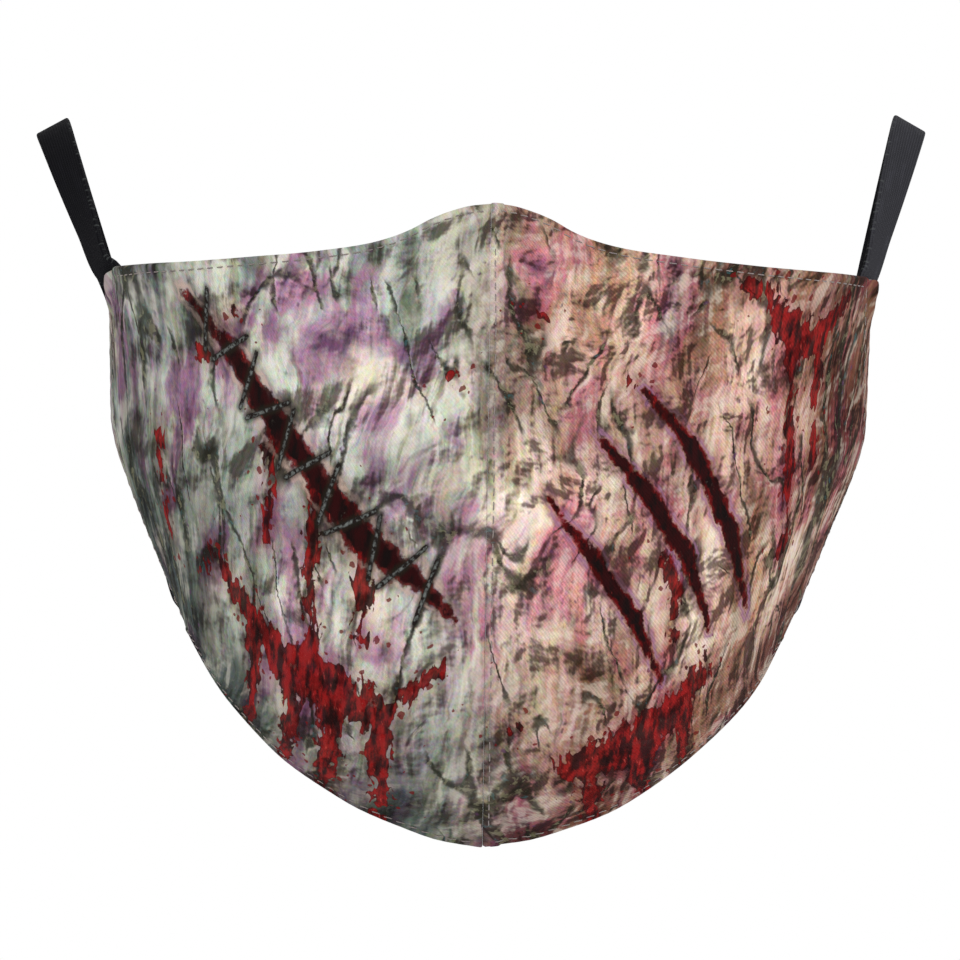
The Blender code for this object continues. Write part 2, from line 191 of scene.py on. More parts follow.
# Print: strokes of the splashes, slashes and the stitched tear, as points of (across, up, half width)
Dab = namedtuple("Dab", "across up reach")
SPLASHES = (
    (Dab(69, 38, 1.8), Dab(78, 30, 3.6), Dab(87, 29, 3.2), Dab(94, 33, 1.4)),
    (Dab(77, 30, 2.6), Dab(77, 10, 1.4), Dab(77, -6, 1.1), Dab(77, -10, 1.6)),
    (Dab(86, 28, 2.2), Dab(87, 14, 1.2), Dab(87, 6, 1.6)),
    (Dab(68, 41, 1.6), Dab(61, 45, 0.8)),
    (Dab(-20, -35, 2.8), Dab(-33, -32, 5.4), Dab(-46, -29, 4.8), Dab(-59, -19, 2.4)),
    (Dab(-22, -36, 3.2), Dab(-21, -54, 1.9), Dab(-22, -64, 1.5), Dab(-22, -69, 2.3)),
    (Dab(-33, -36, 3.4), Dab(-34, -56, 1.9), Dab(-35, -70, 1.7)),
    (Dab(-43, -32, 3.2), Dab(-45, -48, 1.9), Dab(-46, -56, 1.8)),
    (Dab(-55, -26, 2.4), Dab(-57, -40, 1.4), Dab(-58, -46, 1.9)),
    (Dab(-16, -32, 2.0), Dab(-8, -27, 0.9)),
    (Dab(-60, -18, 2.4), Dab(-70, -10, 1.0)),
    (Dab(-39, -24, 2.2), Dab(-37, -17, 1.0)),
    (Dab(18, -47, 3.8), Dab(30, -44, 5.6), Dab(42, -38, 4.4), Dab(52, -30, 2.0)),
    (Dab(22, -50, 3.0), Dab(22, -63, 1.6), Dab(23, -68, 2.1)),
    (Dab(33, -47, 3.4), Dab(34, -58, 1.9), Dab(34, -66, 1.6)),
    (Dab(45, -38, 2.6), Dab(46, -50, 1.5), Dab(46, -53, 1.9)),
    (Dab(-50, 13, 1.9), Dab(-51, -1, 1.1), Dab(-51, -4, 1.6)),
    (Dab(-38, 6, 2.2), Dab(-39, -13, 1.2), Dab(-39, -17, 1.7)),
    (Dab(-26, -4, 2.2), Dab(-26, -18, 1.2), Dab(-26, -21, 1.6)),
    (Dab(41, -6, 1.7), Dab(42, -18, 1.0), Dab(42, -21, 1.4)),
    (Dab(-88, 8, 1.8), Dab(-88, -8, 1.1), Dab(-88, -12, 1.6)),
    (Dab(-66, 33, 1.6),),
    (Dab(-71, 27, 0.9),),
    (Dab(-61, 38, 0.7),),
    (Dab(-72, -14, 1.3),),
    (Dab(38, 26, 1.2),),
    (Dab(33, 31, 0.8),),
    (Dab(6, -40, 0.9),),
    (Dab(-8, 30, 0.8),),
    (Dab(12, 44, 1.1),),
)
SLASHES = (
    (Dab(24, 20, 0.3), Dab(34, 9, 1.9), Dab(45, -6, 2.1), Dab(53, -22, 0.3)),
    (Dab(36, 28, 0.3), Dab(47, 15, 2.0), Dab(58, -3, 2.3), Dab(66, -22, 0.3)),
    (Dab(12, 7, 0.3), Dab(22, -4, 1.6), Dab(32, -17, 1.8), Dab(39, -30, 0.3)),
)
TEAR = (
    Dab(-76, 38, 0.3),
    Dab(-63, 30, 1.9),
    Dab(-50, 18, 2.8),
    Dab(-39, 10, 2.3),
    Dab(-27, -1, 3.0),
    Dab(-16, -8, 1.9),
    Dab(-6, -18, 0.3),
)
LACE_PITCH = 7.4
LACE_LENGTH = 12.5
LACE_LEAN = 0.42
LACE_HALF_WIDTH = 0.55


def tint(red, green, blue):
    """A colour written as on a paint card, from 0 to 255, in the linear form that Blender's sockets take."""
    parts = (part / 255 for part in (red, green, blue))
    return tuple(p / 12.92 if p <= 0.04045 else ((p + 0.055) / 1.055) ** 2.4 for p in parts)


def colour_setting(name, description, red, green, blue):
    return bpy.props.FloatVectorProperty(
        name=name,
        description=description,
        default=tint(red, green, blue),
        min=0.0,
        max=1.0,
        size=3,
        subtype="COLOR",
    )


def length_setting(name, description, default):
    return bpy.props.FloatProperty(
        name=name, description=description, default=default, min=1e-5, unit="LENGTH", subtype="DISTANCE"
    )


class MaskSizes(bpy.types.PropertyGroup):
    """Sizes that a maker would change without cutting a new pattern."""

    stitch_pitch: length_setting("Stitch pitch", "From one stitch to the next", 0.0027)
    stitch_length: length_setting("Stitch length", "Thread that shows on the cloth", 0.0021)
    thread: length_setting("Thread", "Thickness of the sewing thread", 0.00025)
    edge_inset: length_setting("Edge stitching", "From the cloth's edge to its stitching", 0.0021)
    seam_inset: length_setting("Seam stitching", "From the centre seam to its stitching", 0.0011)
    allowance: length_setting("Seam allowance", "Cloth pressed aside under the centre seam", 0.0033)
    twill_pitch: length_setting("Twill pitch", "From one rib of the twill to the next", 0.00062)
    knit_pitch: length_setting("Knit pitch", "From one rib of the elastic to the next", 0.00052)


class MaskColours(bpy.types.PropertyGroup):
    """Colours of the print, the threads and the elastic."""

    cream: colour_setting("Cream", "Raised parts of the left half", 200, 201, 190)
    ash: colour_setting("Ash", "Greyer parts of the left half", 146, 153, 149)
    tan: colour_setting("Tan", "Raised parts of the right half", 208, 179, 164)
    rust: colour_setting("Rust", "Browner parts of the right half", 168, 130, 108)
    rose: colour_setting("Rose", "Sore patches of the right half", 188, 124, 132)
    mauve: colour_setting("Mauve", "Bruised patches", 158, 112, 144)
    plum: colour_setting("Plum", "Deep parts of the bruises", 92, 58, 92)
    bone: colour_setting("Bone", "Highlights of the print", 236, 228, 208)
    moss: colour_setting("Moss", "Greenish stains and shadows", 112, 110, 84)
    crevice: colour_setting("Crevice", "Cracks of the print", 34, 34, 24)
    gore: colour_setting("Gore", "Inside of the slashes and the tear", 20, 10, 10)
    teal: colour_setting("Teal", "Cold tint in some cracks", 50, 92, 94)
    fresh_red: colour_setting("Fresh red", "Splashes of the print", 150, 22, 22)
    dark_red: colour_setting("Dark red", "Thick parts of the splashes", 46, 8, 10)
    glint_red: colour_setting("Glint red", "Glints on the splashes", 206, 78, 70)
    lacing: colour_setting("Lacing", "Printed cord across the tear", 34, 28, 26)
    thread: colour_setting("Thread", "Sewing thread", 146, 137, 128)
    lining: colour_setting("Reverse", "Unprinted side of the cloth", 222, 217, 208)
    elastic: colour_setting("Elastic", "Black elastic of the ear loops", 9, 8, 12)
    lit_elastic: colour_setting("Lit elastic", "Painted light on the outside of a loop", 62, 62, 67)


def between(low, high, share):
    return low + (high - low) * share


def smooth_line(rows, column):
    """A function that reads a table's column at places in its first column, smoothly, with no overshoot."""
    places = np.array([row[0] for row in rows], dtype=float)
    values = np.array([getattr(row, column) for row in rows], dtype=float)
    slopes = np.diff(values) / np.diff(places)
    product = slopes[:-1] * slopes[1:]
    total = slopes[:-1] + slopes[1:]
    rising = product > 0
    inner = np.zeros(len(product))
    inner[rising] = 2 * product[rising] / total[rising]
    tangents = np.concatenate(([slopes[0]], inner, [slopes[-1]]))

    def read(at):
        at = np.clip(at, places[0], places[-1])
        k = np.clip(np.searchsorted(places, at) - 1, 0, len(places) - 2)
        span = places[k + 1] - places[k]
        t = (at - places[k]) / span
        return (
            values[k] * (1 + 2 * t) * (1 - t) ** 2
            + tangents[k] * span * t * (1 - t) ** 2
            + values[k + 1] * t * t * (3 - 2 * t)
            + tangents[k + 1] * span * t * t * (t - 1)
        )

    return read


def smooth_step(low, high, value):
    share = np.clip((value - low) / (high - low), 0.0, 1.0)
    return share * share * (3 - 2 * share)


SIDE_WIDTH = smooth_line(SIDE_EDGE, "width")
SIDE_BACK = smooth_line(SIDE_EDGE, "back")
SEAM_REACH = smooth_line(SEAM_PROFILE, "reach")
TOP_DROP = smooth_line(TOP_EDGE, "drop")
BOTTOM_RISE = smooth_line(BOTTOM_EDGE, "rise")
PLAN_LINES = {column: smooth_line(PLAN, column) for column in PlanRow._fields[1:]}


def curve_share(at, near, far):
    """A cubic curve from 0 to 1 with two inner handles."""
    return 3 * (1 - at) ** 2 * at * near + 3 * (1 - at) * at * at * far + at**3


def bridge_depth():
    """How deep the cloth is at the nose bridge, measured along Y on the slanting side of the nose."""
    row = PLAN[-1]
    slope = row.near_back * UPPER_CORNER_BACK / (row.near_across * HALF_WIDTH)
    return PANEL_WALL * math.sqrt(1 + slope * slope)


def cloth_points(across, height):
    """Places on the outer face of the right half, across from the seam and up from the bottom, both 0 to 1."""
    across, height = np.broadcast_arrays(np.asarray(across, float), np.asarray(height, float))
    width = between(LOWER_CORNER_HALF_WIDTH, HALF_WIDTH, SIDE_WIDTH(height))
    edge_back = between(LOWER_CORNER_BACK, UPPER_CORNER_BACK, SIDE_BACK(height))
    reach = SEAM_REACH(height)
    seam_back = np.where(reach > 0, -NOSE_REACH * reach, CHIN_TUCK * reach / SEAM_PROFILE[0].reach)
    seam_back = seam_back - bridge_depth()
    plan = {name: line(height) for name, line in PLAN_LINES.items()}
    out = curve_share(across, plan["near_across"], plan["far_across"])
    back = curve_share(across, plan["near_back"], plan["far_back"])
    top = UPPER_CORNER_DROP * TOP_DROP(out)
    rise = (HEIGHT - LOWER_CORNER_DROP) * BOTTOM_RISE(out)
    z = -between(HEIGHT - rise, top, height)
    return np.stack((width * out, between(seam_back, edge_back, back), z), axis=-1)


def unit(vectors):
    return vectors / np.linalg.norm(vectors, axis=-1, keepdims=True)


def cloth_directions(across, height):
    """Unit vectors on the cloth: along it towards the side edge, and out of its face."""
    low_a, high_a = np.maximum(across - SLOPE_STEP, 0), np.minimum(across + SLOPE_STEP, 1)
    low_h, high_h = np.maximum(height - SLOPE_STEP, 0), np.minimum(height + SLOPE_STEP, 1)
    along = unit(cloth_points(high_a, height) - cloth_points(low_a, height))
    up = cloth_points(across, high_h) - cloth_points(across, low_h)
    return along, unit(np.cross(along, up))


class FlatCloth:
    """The right half laid flat: how far each place is from the seam, and up from the seam's middle."""

    def __init__(self):
        self.shares = np.linspace(0, 1, MEASURE_COLUMNS)
        self.heights = np.linspace(0, 1, MEASURE_ROWS)
        grid = cloth_points(self.shares[None, :], self.heights[:, None])
        steps = np.linalg.norm(np.diff(grid, axis=1), axis=-1)
        self.run = np.concatenate((np.zeros((MEASURE_ROWS, 1)), np.cumsum(steps, axis=1)), axis=1)
        climbs = np.linalg.norm(np.diff(grid, axis=0), axis=-1)
        climb = np.concatenate((np.zeros((1, MEASURE_COLUMNS)), np.cumsum(climbs, axis=0)))
        self.climb = climb - climb[MEASURE_ROWS // 2]
        self.length = self.run[:, -1]

    def row_length(self, height):
        return np.interp(height, self.heights, self.length)

    def read(self, field, across, height):
        """A field of the flat cloth at any places, between its measured ones."""
        column = np.clip(across, 0, 1) * (MEASURE_COLUMNS - 1)
        row = np.clip(height, 0, 1) * (MEASURE_ROWS - 1)
        c = np.minimum(column.astype(int), MEASURE_COLUMNS - 2)
        r = np.minimum(row.astype(int), MEASURE_ROWS - 2)
        s, t = column - c, row - r
        low = between(field[r, c], field[r, c + 1], s)
        high = between(field[r + 1, c], field[r + 1, c + 1], s)
        return between(low, high, t)

    def across_at(self, run, height):
        """The share across at which each place has run so far from the seam, in its own row."""
        run, height = np.broadcast_arrays(np.asarray(run, float), np.asarray(height, float))
        low, high = np.zeros(run.shape), np.ones(run.shape)
        while (high - low).max() > 1e-7:
            middle = (low + high) / 2
            short = self.read(self.run, middle, height) < run
            low, high = np.where(short, middle, low), np.where(short, high, middle)
        return low


FLAT = FlatCloth()


def height_at(climb, across):
    """The height share at which each place has climbed so far from the seam's middle, in its own column."""
    climb, across = np.broadcast_arrays(np.asarray(climb, float), np.asarray(across, float))
    low, high = np.zeros(climb.shape), np.ones(climb.shape)
    while (high - low).max() > 1e-7:
        middle = (low + high) / 2
        short = FLAT.read(FLAT.climb, across, middle) < climb
        low, high = np.where(short, middle, low), np.where(short, high, middle)
    return low


def edge_drop(distance, radius):
    """How far a face drops towards the middle of its wall, beside a rounded edge."""
    inside = np.clip(1 - distance / radius, 0, 1)
    return radius * (1 - np.sqrt(1 - inside**2))


def soft_waves(run, climb, side):
    """Slight swells of cloth that is held at its edges only."""
    swell = np.sin(run / 0.0093 + climb / 0.0121 + side) * np.sin(climb / 0.0087 - run / 0.0210 + 0.7 * side)
    ripple = np.sin(run / 0.0037 - climb / 0.0061 + 2.1 * side) * np.sin(climb / 0.0052 + 0.4)
    return 0.00022 * swell + 0.00005 * ripple


class ClothPlace:
    """Places on one finished half: points on its outer and inner face, and where they are on the flat cloth."""

    def __init__(self, side, across, height, sizes):
        self.side = side
        self.across, self.height = np.broadcast_arrays(across, height)
        self.run = FLAT.read(FLAT.run, self.across, self.height)
        self.climb = FLAT.read(FLAT.climb, self.across, self.height)
        self.along, self.face = cloth_directions(self.across, self.height)
        self.from_top = FLAT.read(FLAT.climb, self.across, 1.0 + 0 * self.height) - self.climb
        self.from_bottom = self.climb - FLAT.read(FLAT.climb, self.across, 0 * self.height)
        self.from_sleeve = FLAT.row_length(self.height) - SLEEVE_WIDTH - self.run
        ground = cloth_points(self.across, self.height)
        waves = soft_waves(self.run, self.climb, side)
        self.outer = ground + self.face * (waves + self.relief(sizes))[..., None]
        seam_along, seam_face = cloth_directions(0 * self.height, self.height)
        mitre = np.maximum(PANEL_WALL * seam_face[..., 0] / seam_along[..., 0], 1e-9)
        slide = mitre * np.maximum(0, 1 - ground[..., 0] / (4 * mitre))
        lift = waves - PANEL_WALL + self.turned_edge()
        self.inner = ground + self.face * lift[..., None] + self.along * slide[..., None]

    def turned_edge(self):
        half_wall = 0.96 * PANEL_WALL / 2
        return np.maximum(edge_drop(self.from_top, half_wall), edge_drop(self.from_bottom, half_wall))

    def sewn_line(self, distance, inset, run, sizes, raised):
        """A turned edge's raised hem, the groove of its stitching, and the puckers beside it."""
        hem = raised * smooth_step(0, 0.0006, distance)
        hem = hem * (1 - smooth_step(inset - 0.0004, inset + 0.0004, distance))
        beat = np.cos(2 * math.pi * run / sizes.stitch_pitch)
        groove = np.exp(-(((distance - inset) / 0.0003) ** 2)) * (0.72 + 0.28 * beat)
        pucker = np.exp(-(((distance - inset) / 0.0011) ** 2)) * beat
        return hem - 0.00020 * groove - 0.00005 * pucker

    def relief(self, sizes):
        """How far the outer face stands above the plain cloth."""
        raised = -self.turned_edge()
        raised = raised + self.sewn_line(self.from_top, sizes.edge_inset, self.run, sizes, 0.00024)
        raised = raised + self.sewn_line(self.from_bottom, sizes.edge_inset, self.run, sizes, 0.00024)
        raised = raised + self.sewn_line(self.from_sleeve, sizes.seam_inset, self.climb, sizes, 0.00010)
        raised = raised - edge_drop(self.from_sleeve, 0.00050)
        raised = raised - edge_drop(self.run, 0.00042)
        if self.side > 0:
            under = smooth_step(0.0002, 0.0008, self.run)
            under = under * (1 - smooth_step(sizes.allowance - 0.0003, sizes.allowance + 0.0004, self.run))
            bumps = np.sin(self.climb / 0.00063) * np.sin(self.climb / 0.00171 + self.run / 0.0009)
            raised = raised + under * (0.00036 + 0.00004 * bumps)
            raised = raised + self.sewn_line(self.run, sizes.seam_inset, self.climb, sizes, 0.0)
        return raised

    def mirrored(self, points):
        return points * np.array((self.side, 1.0, 1.0))

    def flat(self):
        """Places on the flat cloth in millimetres, as the print is laid on it."""
        return np.stack((self.side * self.run, self.climb, 0 * self.run), axis=-1) * 1000


def evenly_graded(lengths, fine_zone, fine_step, coarse_step):
    """Distances from 0 to each length, close together near both ends, where the cloth is turned and sewn."""
    lengths = np.atleast_1d(lengths)
    near = np.concatenate((EDGE_STEPS, np.arange(EDGE_STEPS[-1] + fine_step, fine_zone, fine_step)))
    count = round(float(lengths.mean() - 2 * near[-1]) / coarse_step)
    shares = np.linspace(0, 1, count + 1)[1:-1]
    inner = near[-1] + (lengths[:, None] - 2 * near[-1]) * shares
    first = np.broadcast_to(near, (len(lengths), len(near)))
    return np.concatenate((first, inner, lengths[:, None] - first[:, ::-1]), axis=1)


def stroke_distance(places, stroke):
    """How far each flat place is from a brush stroke's edge, below 0 inside it, in millimetres."""
    nearest = np.full(len(places), 1e3)
    for start, end in zip(stroke, stroke[1:] or stroke):
        first, second = np.array(start[:2], float), np.array(end[:2], float)
        way = second - first
        length = max(float(way @ way), 1e-9)
        share = np.clip((places - first) @ way / length, 0, 1)
        gap = np.linalg.norm(places - first - share[:, None] * way, axis=1)
        nearest = np.minimum(nearest, gap - between(start.reach, end.reach, share))
    return nearest


def lace_strokes():
    """Short cords that cross the tear, leaning to and fro."""
    points = np.array([dab[:2] for dab in TEAR], float)
    steps = np.linalg.norm(np.diff(points, axis=0), axis=1)
    runs = np.concatenate(([0], np.cumsum(steps)))
    strokes = []
    for number, run in enumerate(np.arange(LACE_PITCH, runs[-1] - LACE_PITCH / 2, LACE_PITCH)):
        middle = np.array([np.interp(run, runs, points[:, axis]) for axis in (0, 1)])
        ahead = np.array([np.interp(run + 0.5, runs, points[:, axis]) for axis in (0, 1)])
        way = (ahead - middle) / np.linalg.norm(ahead - middle)
        lean = LACE_LEAN if number % 2 else -LACE_LEAN
        cross = np.array((-way[1], way[0])) + lean * way
        reach = cross / np.linalg.norm(cross) * LACE_LENGTH / 2
        ends = (middle - reach, middle + reach)
        strokes.append(tuple(Dab(end[0], end[1], LACE_HALF_WIDTH) for end in ends))
    return strokes


def nearest_of(places, strokes):
    return np.min([stroke_distance(places, stroke) for stroke in strokes], axis=0)


def lay_print(mesh, flat):
    """Gives a mesh the places of its print: the flat cloth, and the distances from each painted shape."""
    field = mesh.attributes.new("flat_cloth", "FLOAT_VECTOR", "POINT")
    field.data.foreach_set("vector", flat.astype(np.float32).ravel())
    places = flat[:, :2]
    shapes = {
        "splash": nearest_of(places, SPLASHES),
        "slash": nearest_of(places, SLASHES),
        "tear": stroke_distance(places, TEAR),
        "lacing": nearest_of(places, lace_strokes()),
    }
    for name, distance in shapes.items():
        field = mesh.attributes.new(name, "FLOAT", "POINT")
        field.data.foreach_set("value", np.clip(distance, -20, 60).astype(np.float32))


def grid_quads(rows, columns, start=0):
    """Corner numbers of the quads of a grid of vertices that were added row by row."""
    corner = start + np.arange(rows - 1)[:, None] * columns + np.arange(columns - 1)
    return np.stack((corner, corner + 1, corner + columns + 1, corner + columns), axis=-1).reshape(-1, 4)


def ring_strip(first, second):
    """Corner numbers of the quads between two closed rings of vertices."""
    first, second = np.asarray(first), np.asarray(second)
    return np.stack((first, np.roll(first, -1), np.roll(second, -1), second), axis=-1)


def tube_quads(rings, points, start=0, closed=False):
    """Quads of a tube whose rings of vertices were added one after another."""
    numbers = start + np.arange(rings * points).reshape(rings, points)
    following = np.roll(numbers, -1, axis=0) if closed else numbers[1:]
    strips = [ring_strip(a, b) for a, b in zip(numbers, following)]
    return np.concatenate(strips)


def solid_piece(name, points, quads, side=1):
    """An object from points and quads, smooth all over. A mirrored piece has its quads turned round."""
    quads = quads if side > 0 else quads[:, ::-1]
    mesh = bpy.data.meshes.new(name)
    mesh.from_pydata(points.tolist(), [], quads.tolist())
    mesh.shade_smooth()
    made = bpy.data.objects.new(name, mesh)
    bpy.context.scene.collection.objects.link(made)
    return made


def panel_piece(word, sizes, cloth, reverse):
    """One printed half: a closed wall with rounded top and bottom edges, hems, puckers and seam."""
    side = SIDES[word]
    heights = evenly_graded(0.104, 0.0034, 0.00029, 0.00066)[0] / 0.104
    lengths = FLAT.row_length(heights) - SLEEVE_WIDTH - 0.00002
    runs = evenly_graded(lengths, 0.0040, 0.00029, 0.00066)
    across = FLAT.across_at(runs, heights[:, None] + 0 * runs)
    place = ClothPlace(side, across, heights[:, None] + 0 * runs, sizes)
    layers = []
    for layer in (place.outer, place.inner):
        layer[..., 0] = np.maximum(layer[..., 0], 1e-5)
        layer[:, 0, 0] = 1e-5
        layers.append(place.mirrored(layer).reshape(-1, 3))
    rows, columns = across.shape
    numbers = np.arange(rows * columns).reshape(rows, columns)
    rim = np.concatenate((numbers[0], numbers[1:-1, -1], numbers[-1, ::-1], numbers[1:-1, 0][::-1]))
    outer = grid_quads(rows, columns)
    inner = grid_quads(rows, columns, rows * columns)[:, ::-1]
    edges = ring_strip(rim + rows * columns, rim)
    made = solid_piece(
        f"{word}_printed_panel",
        np.concatenate(layers),
        np.concatenate((outer, edges, inner)),
        side,
    )
    made.data.materials.append(cloth)
    made.data.materials.append(reverse)
    slots = np.zeros(len(made.data.polygons), dtype=np.int32)
    slots[len(outer) + len(edges):] = 1
    made.data.polygons.foreach_set("material_index", slots)
    flat = place.flat().reshape(-1, 3)
    lay_print(made.data, np.concatenate((flat, flat)))
    return made


class SleevePlaces:
    """The folded side hem: at shares of its length, its middle, its width's direction and its way out."""

    def __init__(self, shares):
        self.shares = np.atleast_1d(np.asarray(shares, float))
        self.front_height = between(*SLEEVE_FRONT, self.shares)
        self.rear_height = between(*SLEEVE_REAR, self.shares)
        run = FLAT.row_length(self.front_height) - SLEEVE_WIDTH
        start = FLAT.across_at(run, self.front_height)
        front = cloth_points(start, self.front_height)
        rear = cloth_points(1.0, self.rear_height)
        _, face = cloth_directions((start + 1) / 2, (self.front_height + self.rear_height) / 2)
        self.run = run
        self.wide = unit(rear - front)
        self.face = unit(face - (face * self.wide).sum(-1, keepdims=True) * self.wide)
        self.middle = (front + rear) / 2 - self.face * SLEEVE_THICKNESS / 2
        self.width = np.linalg.norm(rear - front, axis=-1)


def rounded_turn(centre_across, centre_deep, radius, start, end, steps):
    turn = np.linspace(start, end, steps + 1)
    return np.stack((centre_across + radius * np.cos(turn), centre_deep + radius * np.sin(turn)), -1)


def sleeve_sections(width):
    """The sleeve's outer and inner contour at one width: folded round at the rear, pinched at the sewn front."""
    half, front, rear = SLEEVE_THICKNESS / 2, -width / 2, width / 2
    line = np.linspace(0, 1, 15)
    slope = np.linspace(0, 1, 9)
    quarter = math.pi / 2
    pinch_end = front + SLEEVE_PINCH
    outer = [
        np.stack((between(front + 0.0004, rear - FOLD_OUTSIDE, line), half + 0 * line), -1)[:-1],
        rounded_turn(rear - FOLD_OUTSIDE, half - FOLD_OUTSIDE, FOLD_OUTSIDE, quarter, 0, SLEEVE_CORNER_STEPS),
        rounded_turn(rear - FOLD_INSIDE, FOLD_INSIDE - half, FOLD_INSIDE, 0, -quarter, SLEEVE_CORNER_STEPS),
        np.stack((between(rear - FOLD_INSIDE, pinch_end, line), -half + 0 * line), -1)[1:],
        np.stack(
            (between(pinch_end, front, slope), between(-half, half - PANEL_WALL, smooth_step(0, 1, slope))), -1
        )[1:],
        np.array(((front, half - 0.0008), (front + 0.00006, half - 0.0003), (front + 0.0002, half - 0.00007))),
    ]
    hollow = SLEEVE_HOLLOW / 2
    low, high = front + SLEEVE_WALL + hollow, rear - SLEEVE_WALL - hollow
    back = np.linspace(-quarter, -3 * quarter, len(outer[4]) + len(outer[5]) + 2)[1:-1]
    inner = [
        np.stack((between(low, high, line), hollow + 0 * line), -1)[:-1],
        rounded_turn(high, 0.0, hollow, quarter, -quarter, 2 * SLEEVE_CORNER_STEPS + 1),
        np.stack((between(high, low, line), -hollow + 0 * line), -1)[1:],
        np.stack((low + hollow * np.cos(back), hollow * np.sin(back)), -1),
    ]
    return np.concatenate(outer), np.concatenate(inner)


def mouth_gape(section, width, share):
    """How far the sleeve's outer layer stands open at its upper mouth, 0 to 1, between its seam and its fold."""
    near_mouth = smooth_step(0.84, 1.0, share)
    past_seam = smooth_step(-0.50, -0.12, section[:, 0] / width)
    before_fold = smooth_step(0.30, -0.06, section[:, 0] / width)
    outer_layer = smooth_step(0.0, SLEEVE_HOLLOW / 2, section[:, 1])
    return near_mouth * past_seam * before_fold * outer_layer


def sleeve_piece(word, sizes, cloth, reverse):
    """The side hem of one half, a soft flat tube with two open mouths."""
    side = SIDES[word]
    length = 0.075
    shares = evenly_graded(length, 0.0022, 0.0004, 0.00072)[0] / length
    place = SleevePlaces(shares)
    upwards = unit(place.middle[-1] - place.middle[-9])
    layers = {"outer": [], "inner": []}
    flat = {"outer": [], "inner": []}
    for k, share in enumerate(shares):
        from_mouth = min(share, 1 - share) * length
        lip = float(edge_drop(from_mouth, 0.42 * SLEEVE_WALL))
        outer, inner = sleeve_sections(place.width[k])
        gather = 0.00009 * math.sin(share * 61) * math.sin(share * 23 + side) + 0.00005 * math.sin(share * 143)
        for kind, section, grow in (("outer", outer, gather - lip), ("inner", inner, lip)):
            centre = section.mean(axis=0)
            outwards = unit(section - centre * np.array((1.0, 0.0)))
            section = section + outwards * np.array((0.5, 1.0)) * grow
            points = place.middle[k] + section[:, :1] * place.wide[k] + section[:, 1:] * place.face[k]
            gape = MOUTH_SPREAD[word] * place.face[k] + MOUTH_LIFT[word] * upwards
            points = points + mouth_gape(section, place.width[k], share)[:, None] * gape
            layers[kind].append(points)
            step = np.linalg.norm(np.diff(section, axis=0), axis=1)
            past = np.concatenate(([0.0], np.cumsum(step)))
            height = between(place.front_height[k], place.rear_height[k], np.clip(past / place.width[k], 0, 1))
            climb = FLAT.read(FLAT.climb, 1.0 + 0 * height, height)
            flat[kind].append(np.stack((side * (place.run[k] + past), climb, 0 * past), -1) * 1000)
    mirror = np.array((side, 1.0, 1.0))
    outer, inner = (np.concatenate(layers[kind]) * mirror for kind in ("outer", "inner"))
    stations, count = len(shares), len(layers["outer"][0])
    total = stations * count
    wall = tube_quads(stations, count)
    hollow = tube_quads(stations, count, total)[:, ::-1]
    low = ring_strip(np.arange(count) + total, np.arange(count))
    high = ring_strip(np.arange(total - count, total), np.arange(2 * total - count, 2 * total))
    made = solid_piece(
        f"{word}_side_sleeve",
        np.concatenate((outer, inner)),
        np.concatenate((wall, low, high, hollow)),
        side,
    )
    made.data.materials.append(cloth)
    made.data.materials.append(reverse)
    slots = np.zeros(len(made.data.polygons), dtype=np.int32)
    slots[len(wall):] = 1
    made.data.polygons.foreach_set("material_index", slots)
    lay_print(made.data, np.concatenate((*flat["outer"], *flat["inner"])))
    return made


def sleeve_at(share):
    """Middle and width direction of the sleeve at one share of its length, as vectors."""
    place = SleevePlaces(share)
    return Vector(place.middle[0]), Vector(place.wide[0])


def past_mouth(end, beyond, back):
    """A point past a mouth of the sleeve, straight on along it and then back towards its rear fold."""
    middle, wide = sleeve_at(end)
    inner, _ = sleeve_at(abs(end - MOUTH_STEP))
    return middle + (middle - inner).normalized() * beyond + wide * back


def loop_points(word):
    """A band's closed route, as on the right: up through the sleeve, round the ear, and back in below."""
    inside = [sleeve_at(between(*BAND_STRAIGHT, k / SLEEVE_RUNS))[0] for k in range(SLEEVE_RUNS + 1)]
    lower, upper = inside[0], inside[-1]
    out_per_rise = (upper.x - lower.x) / (upper.z - lower.z)
    outside = []
    for row in LOOP_ROUTE:
        down = max(-row.height, 0.0)
        z = between(upper.z, lower.z, down) + LOOP_RISE[word] * max(row.height, 0.0)
        y = between(upper.y, lower.y, down) + LOOP_REACH * row.back
        x = upper.x + out_per_rise * (z - upper.z) + LOOP_FLARE[word] * row.flare
        outside.append(Vector((x, y, z)))
    leave = past_mouth(1.0, UPPER_LEAD, 0.0)
    enter = past_mouth(0.0, LOWER_LEAD, LOWER_LEAD_BACK)
    return [*inside, leave, *outside, enter]


